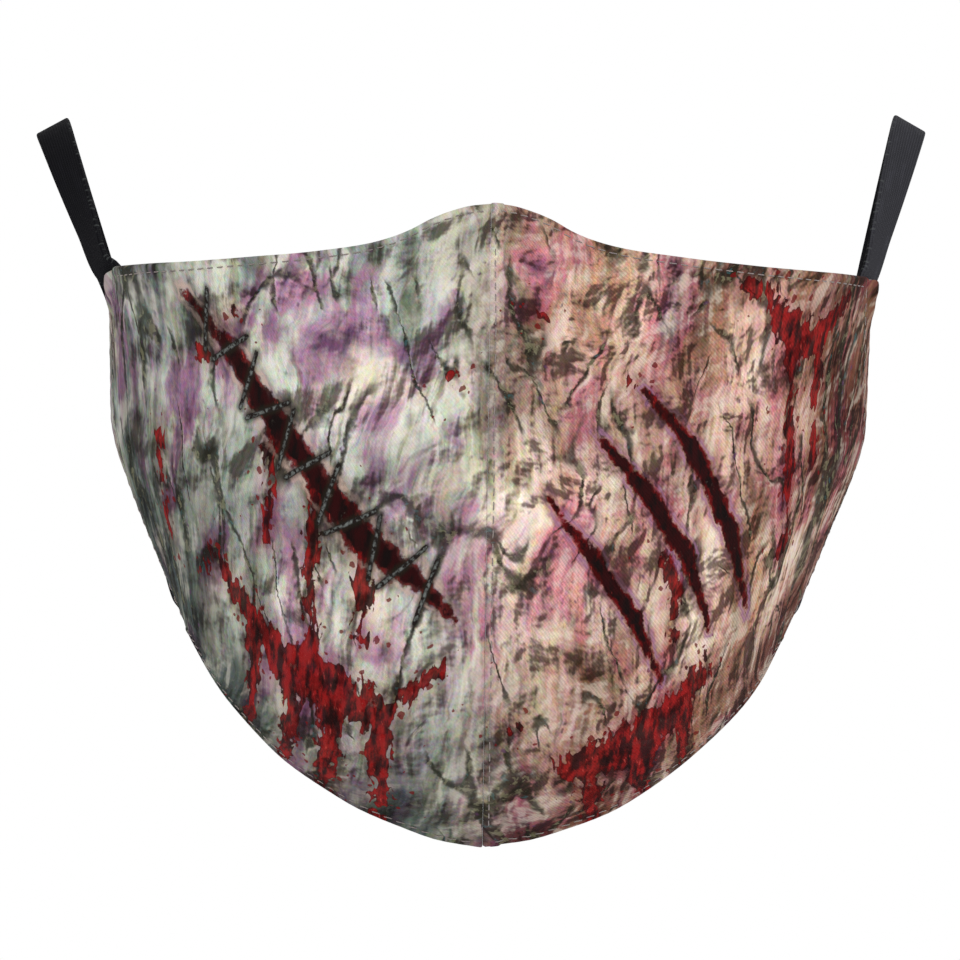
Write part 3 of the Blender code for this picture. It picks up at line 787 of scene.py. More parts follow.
def closed_curve(points, count):
    """Evenly spaced places on a smooth closed line through the points, as (place, point number, run)."""
    fine = []
    total = len(points)
    for k in range(total):
        p0, p1, p2, p3 = (points[(k + i - 1) % total] for i in range(4))
        # Knots follow the square root of the spacing, which keeps uneven points free of loops.
        t1 = math.sqrt((p1 - p0).length)
        t2 = t1 + math.sqrt((p2 - p1).length)
        t3 = t2 + math.sqrt((p3 - p2).length)
        for i in range(CURVE_STEPS):
            t = between(t1, t2, i / CURVE_STEPS)
            a1 = p0.lerp(p1, t / t1)
            a2 = p1.lerp(p2, (t - t1) / (t2 - t1))
            a3 = p2.lerp(p3, (t - t2) / (t3 - t2))
            b1 = a1.lerp(a2, t / t2)
            b2 = a2.lerp(a3, (t - t1) / (t3 - t1))
            fine.append((b1.lerp(b2, (t - t1) / (t2 - t1)), k + i / CURVE_STEPS))
    fine.append((points[0].copy(), float(total)))
    places = np.array([tuple(place) for place, _ in fine])
    numbers = np.array([number for _, number in fine])
    runs = np.concatenate(([0.0], np.cumsum(np.linalg.norm(np.diff(places, axis=0), axis=1))))
    wanted = np.arange(count) * runs[-1] / count
    even = np.stack([np.interp(wanted, runs, places[:, axis]) for axis in range(3)], axis=-1)
    return [Vector(p) for p in even], np.interp(wanted, runs, numbers), wanted


def loop_basis(along, across_loop):
    """Unit vectors across the band's run: towards the inside of the loop, and out of the loop's plane."""
    out = (across_loop - across_loop.dot(along) * along).normalized()
    return along.cross(out), out


def angle_in_sleeve(share, along, across_loop):
    """How far the sleeve's own slant already turns the band at an end of its straight stretch."""
    wide = sleeve_at(share)[1]
    inward, out = loop_basis(along, across_loop)
    return math.atan2(wide.dot(out), wide.dot(inward))


def band_section():
    """Points round the elastic's section, finer than its rounded edges need, as (width, thickness)."""
    rounding = 0.42 * BAND_THICKNESS
    flat_width = BAND_WIDTH / 2 - rounding
    flat_depth = BAND_THICKNESS / 2 - rounding
    points = []
    for corner in range(4):
        sign_w = (1, -1, -1, 1)[corner]
        sign_t = (1, 1, -1, -1)[corner]
        for step in range(5):
            turn = (corner + step / 4) * math.pi / 2
            points.append(
                (sign_w * flat_width + rounding * math.cos(turn), sign_t * flat_depth + rounding * math.sin(turn))
            )
        if corner in (0, 2):
            for step in range(1, 12):
                points.append((sign_w * flat_width * (1 - step / 6), sign_t * BAND_THICKNESS / 2))
    return np.array(points)


def ear_loop_piece(word, elastic):
    """One elastic: a flat ring that lies in the sleeve, then turns to lie round the ear."""
    side = SIDES[word]
    points = loop_points(word)
    places, numbers, runs = closed_curve(points, BAND_STATIONS)
    lower, upper = points[0], points[SLEEVE_RUNS]
    across_loop = (upper - lower).cross(Vector((0, -1, 0))).normalized()
    lower_angle = angle_in_sleeve(BAND_STRAIGHT.low, (points[1] - lower).normalized(), across_loop)
    upper_run = (upper - points[SLEEVE_RUNS - 1]).normalized()
    upper_angle = angle_in_sleeve(BAND_STRAIGHT.high, upper_run, across_loop)
    first_row = SLEEVE_RUNS + 2
    turns = [TurnRow(first_row + i, row.turn) for i, row in enumerate(LOOP_ROUTE)]
    turns = [TurnRow(first_row - 1, 0.0), *turns, TurnRow(first_row + len(LOOP_ROUTE), 0.0)]
    turned = smooth_line(turns, "turn")(numbers)
    widths = SleevePlaces(between(*BAND_STRAIGHT, np.clip(numbers / SLEEVE_RUNS, 0, 1))).wide
    section = band_section()
    rings, knit = [], []
    for i, middle in enumerate(places):
        along = (places[(i + 1) % BAND_STATIONS] - places[i - 1]).normalized()
        if numbers[i] <= SLEEVE_RUNS:
            wide = Vector(widths[i])
            wide = (wide - wide.dot(along) * along).normalized()
        else:
            past = (numbers[i] - SLEEVE_RUNS) / (len(points) - SLEEVE_RUNS)
            angle = between(between(upper_angle, lower_angle, past), math.pi / 2, turned[i])
            inward, out = loop_basis(along, across_loop)
            wide = inward * math.cos(angle) + out * math.sin(angle)
        depth = along.cross(wide)
        rings.append(np.array(middle) + section[:, :1] * np.array(wide) + section[:, 1:] * np.array(depth))
        row = np.column_stack((section[:, 0], np.full(len(section), runs[i]), section[:, 1]))
        knit.append(row * 1000)
    points = np.concatenate(rings) * np.array((side, 1.0, 1.0))
    quads = tube_quads(BAND_STATIONS, len(section), closed=True)
    made = solid_piece(f"{word}_elastic_loop", points, quads, side)
    made.data.materials.append(elastic)
    field = made.data.attributes.new("knit", "FLOAT_VECTOR", "POINT")
    field.data.foreach_set("vector", np.concatenate(knit).astype(np.float32).ravel())
    # Painted light: the outer face of each loop takes its share of a lighter grey, most on the right loop.
    outside = np.tile(section[:, 1] < 0, BAND_STATIONS)
    field = made.data.attributes.new("painted_light", "FLOAT", "POINT")
    field.data.foreach_set("value", (outside * LOOP_PAINTED_LIGHT[word]).astype(np.float32))
    return made


def stitches(line, normals, sizes):
    """Rings of each stitch along a line on the cloth: short threads that dip into it at both ends."""
    steps = np.linalg.norm(np.diff(line, axis=0), axis=1)
    runs = np.concatenate(([0.0], np.cumsum(steps)))
    middles = np.arange(sizes.stitch_pitch, runs[-1] - sizes.stitch_pitch / 2, sizes.stitch_pitch)
    shares = np.linspace(-1, 1, 7)
    turn = np.arange(8) * math.pi / 4
    rings = []
    for middle in middles:
        at = middle + shares * sizes.stitch_length / 2
        spot = np.stack([np.interp(at, runs, line[:, axis]) for axis in range(3)], axis=-1)
        up = unit(np.stack([np.interp(at, runs, normals[:, axis]) for axis in range(3)], axis=-1))
        ahead = unit(np.gradient(spot, axis=0))
        aside = unit(np.cross(ahead, up))
        radius = sizes.thread / 2 * np.sqrt(np.clip(1.02 - shares**6, 0.02, 1))
        lift = sizes.thread * (0.42 - 0.95 * shares**4)
        centre = spot + up * lift[:, None]
        ring = aside[:, None] * np.cos(turn)[:, None] + up[:, None] * np.sin(turn)[:, None]
        rings.append(centre[:, None] + ring * radius[:, None, None])
    return rings


def sewn_lines(side, sizes):
    """Every line of stitching on one half, as (outer points, inner points, the way out of the cloth)."""
    lines = []
    shares = np.linspace(0.0, 1.0, 260)
    for edge in (0.0, 1.0):
        along_edge = FLAT.across_at(
            between(0.0006, FLAT.row_length(edge) - SLEEVE_WIDTH - 0.0009, shares), edge + 0 * shares
        )
        climb = FLAT.read(FLAT.climb, along_edge, edge + 0 * shares)
        height = height_at(climb + sizes.edge_inset * (1 if edge == 0 else -1), along_edge)
        lines.append(ClothPlace(side, along_edge, height, sizes))
    height = between(0.030, 0.975, shares)
    beside_sleeve = FLAT.across_at(FLAT.row_length(height) - SLEEVE_WIDTH - sizes.seam_inset, height)
    lines.append(ClothPlace(side, beside_sleeve, height, sizes))
    if side > 0:
        beside_seam = FLAT.across_at(sizes.seam_inset + 0 * shares, height)
        lines.append(ClothPlace(side, beside_seam, height, sizes))
    return lines


def stitching_piece(thread, sizes):
    """All the sewing thread that shows, outside and inside."""
    rings = []
    for side in SIDES.values():
        for place in sewn_lines(side, sizes):
            outer, inner, face = (place.mirrored(part) for part in (place.outer, place.inner, place.face))
            rings += stitches(outer, face, sizes)
            rings += stitches(inner, -face, sizes)
    points = np.concatenate([ring.reshape(-1, 3) for ring in rings])
    count, around = rings[0].shape[:2]
    quads = []
    for number in range(len(rings)):
        start = number * count * around
        quads.append(tube_quads(count, around, start)[:, ::-1])
    made = solid_piece("sewing_thread", points, np.concatenate(quads))
    close_thread_ends(made.data)
    made.data.materials.append(thread)
    return made


def close_thread_ends(mesh):
    """Caps the open ends of every stitch, which lie in the cloth."""
    work = bmesh.new()
    work.from_mesh(mesh)
    open_edges = [edge for edge in work.edges if edge.is_boundary]
    bmesh.ops.holes_fill(work, edges=open_edges, sides=8)
    bmesh.ops.recalc_face_normals(work, faces=work.faces)
    work.to_mesh(mesh)
    work.free()


class Dye:
    """Short ways to lay out one material's nodes."""

    def __init__(self, name):
        self.material = bpy.data.materials.new(name)
        self.material.use_nodes = True
        self.tree = self.material.node_tree
        self.shader = self.tree.nodes["Principled BSDF"]

    def node(self, kind, inputs=(), **settings):
        made = self.tree.nodes.new(kind)
        for name, value in settings.items():
            setattr(made, name, value)
        for socket, value in dict(inputs).items():
            self.feed(made.inputs[socket], value)
        return made

    def feed(self, socket, value):
        if isinstance(value, bpy.types.NodeSocket):
            self.tree.links.new(value, socket)
        elif socket.type == "RGBA":
            socket.default_value = (*value[:3], 1.0)
        else:
            socket.default_value = value

    def field(self, name):
        made = self.node("ShaderNodeAttribute", attribute_name=name)
        return made.outputs["Fac"]

    def places(self, name):
        made = self.node("ShaderNodeAttribute", attribute_name=name)
        return made.outputs["Vector"]

    def sum_of(self, operation, *values, clamp=False):
        made = self.node("ShaderNodeMath", dict(enumerate(values)), operation=operation, use_clamp=clamp)
        return made.outputs[0]

    def add(self, a, b):
        return self.sum_of("ADD", a, b)

    def less(self, a, b):
        return self.sum_of("SUBTRACT", a, b)

    def times(self, a, b):
        return self.sum_of("MULTIPLY", a, b)

    def scaled(self, places, scale):
        made = self.node("ShaderNodeVectorMath", {0: places, 1: scale}, operation="MULTIPLY")
        return made.outputs[0]

    def moved(self, places, offset):
        made = self.node("ShaderNodeVectorMath", {0: places, 1: offset}, operation="ADD")
        return made.outputs[0]

    def turned(self, places, degrees):
        made = self.node(
            "ShaderNodeVectorRotate",
            {"Vector": places, "Angle": math.radians(degrees)},
            rotation_type="Z_AXIS",
        )
        return made.outputs[0]

    def vector_blend(self, share, first, second):
        made = self.node("ShaderNodeMix", data_type="VECTOR")
        for socket, value in ((0, share), (4, first), (5, second)):
            self.feed(made.inputs[socket], value)
        return made.outputs[1]

    def axis(self, places, letter):
        return self.node("ShaderNodeSeparateXYZ", {0: places}).outputs[letter]

    def along(self, places, way):
        made = self.node("ShaderNodeVectorMath", {0: places, 1: way}, operation="DOT_PRODUCT")
        return made.outputs["Value"]

    def noise(self, places, scale, detail=2.0, roughness=0.5, colour=False):
        made = self.node(
            "ShaderNodeTexNoise",
            {"Vector": places, "Scale": scale, "Detail": detail, "Roughness": roughness},
        )
        return made.outputs["Color" if colour else "Fac"]

    def warped(self, places, scale, amount):
        """Places pushed about by a soft noise, so that nothing laid on them runs straight."""
        push = self.noise(places, scale, 2.0, 0.5, colour=True)
        push = self.moved(push, (-0.5, -0.5, -0.5))
        return self.moved(places, self.scaled(push, (2 * amount, 2 * amount, 0)))

    def step(self, value, low, high, from_value=0.0, to_value=1.0):
        """A soft step from one value to another as the input goes from low to high."""
        made = self.node(
            "ShaderNodeMapRange",
            {"Value": value, "From Min": low, "From Max": high, "To Min": from_value, "To Max": to_value},
            interpolation_type="SMOOTHSTEP",
        )
        return made.outputs[0]

    def blend(self, share, first, second, kind="MIX"):
        made = self.node("ShaderNodeMix", data_type="RGBA", blend_type=kind)
        for socket, value in ((0, share), (6, first), (7, second)):
            self.feed(made.inputs[socket], value)
        return made.outputs[2]

    def bump(self, height, distance, strength, normal=None):
        inputs = {"Height": height, "Distance": distance, "Strength": strength}
        if normal is not None:
            inputs["Normal"] = normal
        return self.node("ShaderNodeBump", inputs).outputs[0]

    def finish(self, **sockets):
        for name, value in sockets.items():
            self.feed(self.shader.inputs[name.replace("_", " ")], value)
        return self.material


def long_noise(dye, places, degrees, across, along, detail):
    """Noise drawn out into streaks: their width and length in millimetres, turned from upright."""
    drawn = dye.scaled(dye.turned(places, degrees), (1 / across, 1 / along, 1))
    return dye.noise(drawn, 1.0, detail, 0.55)


def thin_line(dye, noise, level, width, breadth):
    """1 along the line where a noise passes a level, and 0 beside it."""
    away = dye.times(dye.sum_of("ABSOLUTE", dye.less(noise, level)), breadth)
    return dye.step(away, width, width * 0.12)


def hide_relief():
    """The printed hide as a group: its height in millimetres, and how deep its cracks and hollows are.

    As a group it is read at two places, and the print is lit from their difference.
    """
    group = bpy.data.node_groups.new("hide_relief", "ShaderNodeTree")
    group.interface.new_socket("Places", in_out="INPUT", socket_type="NodeSocketVector")
    for name in ("Height", "Cracks", "Hollows"):
        group.interface.new_socket(name, in_out="OUTPUT", socket_type="NodeSocketFloat")
    dye = Dye.__new__(Dye)
    dye.tree = group
    entry = group.nodes.new("NodeGroupInput")
    leave = group.nodes.new("NodeGroupOutput")
    places = entry.outputs["Places"]
    side = dye.step(dye.axis(places, "X"), -26.0, 22.0)
    calm = dye.warped(places, 0.040, 4.5)
    wild = dye.warped(dye.warped(places, 0.032, 8.0), 0.10, 1.6)
    bent = dye.vector_blend(side, calm, wild)
    lumps = dye.noise(bent, 0.058, 1.6, 0.45)
    folds = long_noise(dye, bent, 4, 6.4, 27.0, 2.0)
    knots = dye.noise(bent, 0.17, 3.0, 0.52)
    streaks = long_noise(dye, bent, 3, 1.25, 17.0, 3.0)
    grain = dye.noise(bent, 0.85, 3.0, 0.6)
    height = dye.add(dye.times(lumps, 15.0), dye.times(folds, dye.step(side, 0.0, 1.0, 2.8, 4.6)))
    height = dye.add(height, dye.times(knots, dye.step(side, 0.0, 1.0, 1.0, 3.2)))
    height = dye.add(height, dye.add(dye.times(streaks, 0.36), dye.times(grain, 0.20)))
    uneven = dye.warped(bent, 0.75, 0.55)
    breadth = dye.step(dye.noise(places, 0.22, 2.0), 0.32, 0.68, 2.1, 0.5)
    where = dye.noise(dye.moved(places, (7.0, 3.0, 21.0)), 0.050, 1.0)
    first = thin_line(dye, long_noise(dye, uneven, -20, 11.0, 52.0, 0.7), 0.50, 0.028, breadth)
    second = thin_line(dye, long_noise(dye, uneven, 34, 10.0, 34.0, 0.7), 0.52, 0.032, breadth)
    third = thin_line(dye, long_noise(dye, uneven, 8, 24.0, 66.0, 1.0), 0.50, 0.030, breadth)
    first = dye.times(first, dye.step(where, 0.50, 0.57))
    second = dye.times(second, dye.step(where, 0.46, 0.38))
    second = dye.times(second, dye.add(0.2, dye.times(side, 0.8)))
    third = dye.times(third, dye.step(dye.noise(places, 0.036, 0.0), 0.44, 0.54))
    cracks = dye.sum_of("MAXIMUM", third, dye.sum_of("MAXIMUM", first, second))
    height = dye.less(height, dye.times(cracks, 0.30))
    hollows = dye.step(dye.add(dye.times(folds, 0.6), dye.times(knots, 0.4)), 0.49, 0.36)
    for name, value in (("Height", height), ("Cracks", cracks), ("Hollows", hollows)):
        group.links.new(value, leave.inputs[name])
    return group


def relief_at(dye, group, places):
    made = dye.node("ShaderNodeGroup", node_tree=group)
    dye.tree.links.new(places, made.inputs["Places"])
    return made.outputs


def weave_height(dye, places, pitch):
    """A fine twill whose ribs run down to the right, with slightly uneven yarns, 0 to 1."""
    uneven = dye.times(dye.less(dye.noise(places, 0.9, 2.0), 0.5), 0.30)
    turns = 2 * math.pi / (pitch * 1000)
    ribs = dye.sum_of("SINE", dye.times(dye.add(dye.along(places, (0.74, 0.67, 0.0)), uneven), turns))
    yarns = dye.sum_of("SINE", dye.times(dye.along(places, (0.67, -0.74, 0.0)), turns / 0.62))
    return dye.add(dye.times(ribs, 0.40), dye.add(dye.times(yarns, 0.14), 0.5))


def darkened(dye, colour, by):
    return dye.blend(1.0, colour, by, "MULTIPLY")


def print_shade(dye, places):
    """Where the print is in shade: in broad drifts, towards both side edges, and low down."""
    drift = dye.step(dye.noise(dye.moved(places, (50.0, 3.0, 8.0)), 0.027, 3.0, 0.55), 0.60, 0.38, 0.0, 0.50)
    sideways = dye.step(dye.sum_of("ABSOLUTE", dye.axis(places, "X")), 42.0, 104.0, 0.0, 0.52)
    low = dye.step(dye.axis(places, "Y"), -6.0, -56.0, 0.0, 0.58)
    return dye.sum_of("ADD", drift, dye.sum_of("ADD", sideways, low), clamp=True)


def hide_colour(dye, colours, places, relief, light):
    """The print's ground: cream to tan, bruised with mauve and dark in its cracks, with painted shade in its
    hollows, on its sides turned from the light, towards both side edges and low down, and painted highlights where
    its ridges face the light.
    """
    broad = dye.warped(dye.warped(places, 0.05, 7.0), 0.35, 0.9)
    warm = dye.step(dye.axis(broad, "X"), -16.0, 20.0)
    ground = dye.blend(warm, colours.cream, colours.tan)
    grey = long_noise(dye, dye.moved(broad, (3.0, 9.0, 14.0)), 2, 15.0, 46.0, 4.0)
    ground = dye.blend(dye.step(grey, 0.47, 0.60, 0.0, 0.88), ground, dye.blend(warm, colours.ash, colours.rust))
    tinge = long_noise(dye, dye.moved(broad, (9.0, 1.0, 33.0)), 0, 3.2, 22.0, 4.0)
    ground = dye.blend(dye.step(tinge, 0.50, 0.64, 0.0, 0.50), ground, dye.blend(warm, colours.moss, colours.rust))
    bruise = long_noise(dye, dye.moved(broad, (37.0, 11.0, 5.0)), 14, 15.0, 30.0, 4.0)
    sore = dye.blend(warm, colours.mauve, colours.rose)
    ground = dye.blend(dye.step(bruise, 0.49, 0.59, 0.0, 0.82), ground, sore)
    ground = dye.blend(dye.step(bruise, 0.60, 0.70, 0.0, 0.72), ground, colours.plum)
    pale = dye.noise(dye.moved(broad, (-21.0, 5.0, 3.0)), 0.050, 3.0, 0.55)
    ground = dye.blend(dye.step(pale, 0.52, 0.68, 0.0, 0.60), ground, colours.bone)
    drawn = dye.scaled(dye.turned(dye.moved(broad, (4.0, 4.0, 50.0)), 5), (0.62, 0.07, 1.0))
    strand = dye.noise(drawn, 1.0, 4.0, 0.62, colour=True)
    strand = dye.blend(0.62, strand, dye.noise(drawn, 1.0, 4.0, 0.62))
    ground = dye.blend(0.85, ground, strand, "OVERLAY")
    fleck = dye.noise(dye.moved(places, (1.0, 2.0, 60.0)), 0.95, 3.0, 0.65, colour=True)
    ground = dye.blend(0.42, ground, fleck, "OVERLAY")
    # Painted shade in the hollows of the relief.
    ground = dye.blend(dye.times(relief["Hollows"], 0.55), ground, darkened(dye, ground, (0.36, 0.33, 0.30)))
    dark_side = dye.step(light, 0.02, -0.62, 0.0, 0.90)
    ground = dye.blend(dark_side, ground, darkened(dye, ground, (0.20, 0.17, 0.17)))
    deep = dye.blend(warm, (0.15, 0.18, 0.19), (0.24, 0.14, 0.13))
    ground = dye.blend(print_shade(dye, places), ground, darkened(dye, ground, deep))
    ground = dye.scaled(dye.node("ShaderNodeGamma", {0: ground, 1: 1.20}).outputs[0], (1.55, 1.55, 1.55))
    lit_side = dye.step(light, 0.10, 0.75, 0.0, 0.62)
    ground = dye.blend(lit_side, ground, dye.blend(0.55, ground, colours.bone, "SCREEN"))
    stain = dye.noise(dye.moved(broad, (-13.0, 71.0, 9.0)), 0.42, 3.0, 0.6)
    crack_colour = dye.blend(dye.step(stain, 0.60, 0.68, 0.0, 0.8), colours.crevice, colours.teal)
    crack_colour = dye.blend(dye.step(stain, 0.46, 0.38, 0.0, 0.9), crack_colour, colours.moss)
    ground = dye.blend(dye.times(relief["Cracks"], 0.86), ground, crack_colour)
    pores = dye.node("ShaderNodeTexVoronoi", {"Vector": dye.warped(places, 0.6, 0.7), "Scale": 0.24})
    pore = dye.step(pores.outputs["Distance"], 0.17, 0.05)
    some = dye.step(dye.noise(places, 0.09, 1.0), 0.50, 0.58)
    return dye.blend(dye.times(dye.times(pore, some), 0.80), ground, colours.plum)


def painted_shapes(dye, colours, places, ground, light):
    """Splashes with runs, slashes and a laced tear, laid over the ground with ragged edges."""
    lobes = dye.less(dye.noise(places, 0.20, 2.0, 0.5), 0.5)
    ragged = dye.less(dye.noise(places, 0.55, 3.0, 0.6), 0.5)
    threads = long_noise(dye, dye.warped(places, 0.12, 3.0), 0, 2.6, 9.0, 1.5)
    strings = dye.times(dye.sum_of("ABSOLUTE", dye.less(threads, 0.5)), 12.0)

    def edge_of(name, broad, fine):
        return dye.add(dye.field(name), dye.add(dye.times(lobes, broad), dye.times(ragged, fine)))

    splash = dye.add(edge_of("splash", 7.0, 3.0), dye.less(strings, 0.8))
    wet = dye.step(splash, 0.22, -0.16)
    depth = long_noise(dye, dye.moved(places, (5.0, 2.0, 8.0)), 6, 2.1, 6.0, 4.0)
    red = dye.blend(dye.step(depth, 0.40, 0.62), colours.fresh_red, colours.dark_red)
    thick = dye.step(dye.add(splash, dye.times(ragged, 5.0)), -1.6, -4.4, 0.0, 0.9)
    red = dye.blend(dye.times(thick, dye.step(depth, 0.36, 0.56)), red, colours.dark_red)
    rim = dye.times(dye.step(splash, -0.75, -0.15), 0.6)
    red = dye.blend(rim, red, colours.dark_red)
    red = dye.blend(dye.step(light, 0.0, -0.5, 0.0, 0.75), red, darkened(dye, red, (0.25, 0.15, 0.15)))
    # Painted highlight: streaky glints on the red splashes, as if they were wet.
    painted_glint = long_noise(dye, dye.moved(places, (2.0, 4.0, 6.0)), -8, 0.7, 2.4, 2.0)
    painted_glint = dye.times(dye.step(painted_glint, 0.62, 0.72, 0.0, 0.55), dye.step(depth, 0.56, 0.46))
    red = dye.blend(painted_glint, red, colours.glint_red)
    halo = dye.step(dye.field("splash"), 5.0, 0.2, 0.0, 0.42)
    ground = dye.blend(halo, ground, darkened(dye, ground, (0.66, 0.36, 0.38)))
    spots = dye.node("ShaderNodeTexVoronoi", {"Vector": dye.warped(places, 0.5, 0.9), "Scale": 0.36})
    size = dye.times(dye.node("ShaderNodeSeparateColor", {0: spots.outputs["Color"]}).outputs[0], 0.27)
    near = dye.step(dye.field("splash"), 13.0, 1.0)
    dots = dye.step(dye.less(spots.outputs["Distance"], dye.times(size, near)), 0.045, 0.0)
    dots = dye.times(dots, dye.step(dye.field("splash"), 13.0, 10.0))
    ground = dye.blend(dye.times(dots, 0.85), ground, dye.blend(0.55, colours.fresh_red, colours.dark_red))
    ground = dye.blend(dye.times(wet, 0.96), ground, red)

    gore = dye.blend(dye.step(depth, 0.36, 0.62), colours.gore, colours.dark_red)
    slash = edge_of("slash", 2.8, 2.2)
    ground = dye.blend(dye.step(slash, 2.6, 0.4, 0.0, 0.60), ground, darkened(dye, ground, (0.42, 0.20, 0.24)))
    lip = dye.times(dye.step(slash, 1.5, 0.6), dye.step(slash, 0.1, 0.6))
    # The lip is mauve, strongest on its side facing the light as a painted highlight.
    ground = dye.blend(dye.times(lip, dye.step(light, -0.3, 0.3, 0.15, 0.75)), ground, colours.mauve)
    ground = dye.blend(dye.step(slash, 0.35, -0.30), ground, red)
    ground = dye.blend(dye.step(slash, -0.30, -1.10), ground, gore)

    tear = edge_of("tear", 3.6, 2.8)
    ground = dye.blend(dye.step(tear, 4.6, 0.9, 0.0, 0.62), ground, darkened(dye, ground, (0.40, 0.24, 0.32)))
    flap = dye.times(dye.step(tear, 2.2, 1.2), dye.step(tear, 0.4, 1.2))
    # The flap is tan, strongest on its side facing the light as a painted highlight.
    ground = dye.blend(dye.times(flap, dye.step(light, -0.2, 0.4, 0.20, 0.65)), ground, colours.tan)
    ground = dye.blend(dye.step(tear, 0.8, 0.1, 0.0, 0.95), ground, red)
    ground = dye.blend(dye.step(tear, 0.05, -0.95), ground, gore)
    lacing = dye.add(dye.field("lacing"), dye.times(ragged, 0.5))
    # Painted shadow: a dark band round each cord of the lacing.
    ground = dye.blend(dye.step(lacing, 1.1, 0.0, 0.0, 0.62), ground, colours.crevice)
    # Painted highlight: the cord is paler towards its middle, in broken streaks.
    strand = dye.times(dye.step(lacing, 0.0, -0.45, 0.0, 0.55), dye.step(dye.noise(places, 1.1, 2.0), 0.42, 0.60))
    cord = dye.blend(strand, colours.lacing, colours.ash)
    return dye.blend(dye.step(lacing, 0.14, -0.14), ground, cord)


def printed_cloth(colours, sizes):
    dye = Dye("printed_twill")
    places = dye.places("flat_cloth")
    group = hide_relief()
    relief = relief_at(dye, group, places)
    beside = relief_at(dye, group, dye.moved(places, (-0.40, 0.56, 0.0)))
    light = dye.times(dye.less(relief["Height"], beside["Height"]), 1.45)
    ground = hide_colour(dye, colours, places, relief, light)
    colour = painted_shapes(dye, colours, places, ground, light)
    weave = weave_height(dye, places, sizes.twill_pitch)
    shown = dye.step(dye.axis(places, "X"), -12.0, 16.0, 0.16, 0.42)
    shown = dye.times(shown, dye.step(dye.noise(places, 0.045, 1.0), 0.34, 0.60, 0.45, 1.0))
    colour = dye.blend(dye.times(weave, shown), colour, darkened(dye, colour, (0.34, 0.33, 0.34)))
    worn = dye.noise(places, 0.20, 5.0, 0.7)
    colour = dye.blend(dye.step(worn, 0.62, 0.78, 0.0, 0.16), colour, colours.bone)
    soft = dye.bump(dye.noise(places, 0.33, 3.0, 0.55), 0.00022, 0.6)
    normal = dye.bump(weave, 0.00005, 0.75, soft)
    rough = dye.step(worn, 0.3, 0.7, 0.78, 0.90)
    return dye.finish(
        Base_Color=colour,
        Roughness=rough,
        Normal=normal,
        Specular_IOR_Level=0.07,
    )


def plain_reverse(colours, sizes):
    """The cloth's unprinted side, where the print shows through a little."""
    dye = Dye("plain_reverse")
    places = dye.places("flat_cloth")
    weave = weave_height(dye, places, sizes.twill_pitch)
    relief = relief_at(dye, bpy.data.node_groups["hide_relief"], places)
    through = dye.times(dye.add(relief["Cracks"], relief["Hollows"]), 0.14)
    colour = dye.blend(through, colours.lining, colours.mauve)
    stain = dye.step(dye.field("splash"), 1.2, -1.2, 0.0, 0.26)
    colour = dye.blend(stain, colour, (0.55, 0.24, 0.24))
    colour = dye.blend(dye.times(weave, 0.14), colour, dye.blend(1.0, colour, (0.50, 0.49, 0.48), "MULTIPLY"))
    soft = dye.bump(dye.noise(places, 0.33, 3.0, 0.55), 0.00022, 0.6)
    normal = dye.bump(weave, 0.00006, 0.8, soft)
    rough = dye.step(dye.noise(places, 0.2, 4.0, 0.6), 0.3, 0.7, 0.84, 0.94)
    return dye.finish(
        Base_Color=colour, Roughness=rough, Normal=normal, Sheen_Weight=0.10, Specular_IOR_Level=0.25
    )


def knitted_elastic(colours, sizes):
    """Soft black elastic: ribs along the band, fine rows across it, painted highlights on its raised knit, painted
    light in a lighter grey on the outside of a loop, and pale flecks along its edges as a painted edge highlight.
    """
    dye = Dye("knitted_elastic")
    places = dye.places("knit")
    parts = dye.node("ShaderNodeSeparateXYZ", {0: places})
    across, along = parts.outputs["X"], parts.outputs["Y"]
    pitch = sizes.knit_pitch * 1000
    ribs = dye.sum_of("SINE", dye.times(across, 2 * math.pi / pitch))
    rows = dye.sum_of("SINE", dye.add(dye.times(along, 2 * math.pi / (pitch * 0.9)), dye.times(ribs, 1.1)))
    fuzz = dye.noise(places, 3.2, 4.0, 0.7)
    height = dye.add(dye.times(ribs, 0.34), dye.add(dye.times(rows, 0.22), fuzz))
    # Painted highlight: the raised ribs and rows of the knit are lighter.
    lift = dye.step(height, 0.2, 1.1, 0.0, 0.55)
    painted_light = dye.field("painted_light")
    colour = dye.blend(lift, colours.elastic, (0.012, 0.012, 0.014))
    # Painted light: the outer face of a loop is laid in a lighter grey, most on its raised knit.
    colour = dye.blend(dye.times(painted_light, dye.step(height, 0.2, 1.2, 0.5, 1.0)), colour, colours.lit_elastic)
    wear = dye.noise(dye.scaled(places, (1.0, 0.25, 1.0)), 0.6, 4.0, 0.6)
    colour = dye.blend(dye.step(wear, 0.50, 0.72, 0.0, 0.30), colour, darkened(dye, colour, (1.9, 1.9, 2.0)))
    # Painted highlight: pale flecks along both edges of the band.
    edge = dye.step(dye.sum_of("ABSOLUTE", across), BAND_WIDTH * 500 - 0.48, BAND_WIDTH * 500 - 0.26)
    fleck = dye.step(dye.noise(dye.scaled(places, (0.0, 1.5, 0.4)), 1.0, 1.0), 0.56, 0.64)
    colour = dye.blend(dye.times(dye.times(edge, fleck), 0.12), colour, colours.ash)
    normal = dye.bump(height, 0.00012, 0.8)
    rough = dye.step(fuzz, 0.3, 0.7, 0.66, 0.86)
    return dye.finish(
        Base_Color=colour,
        Roughness=rough,
        Normal=normal,
        Specular_IOR_Level=0.05,
    )


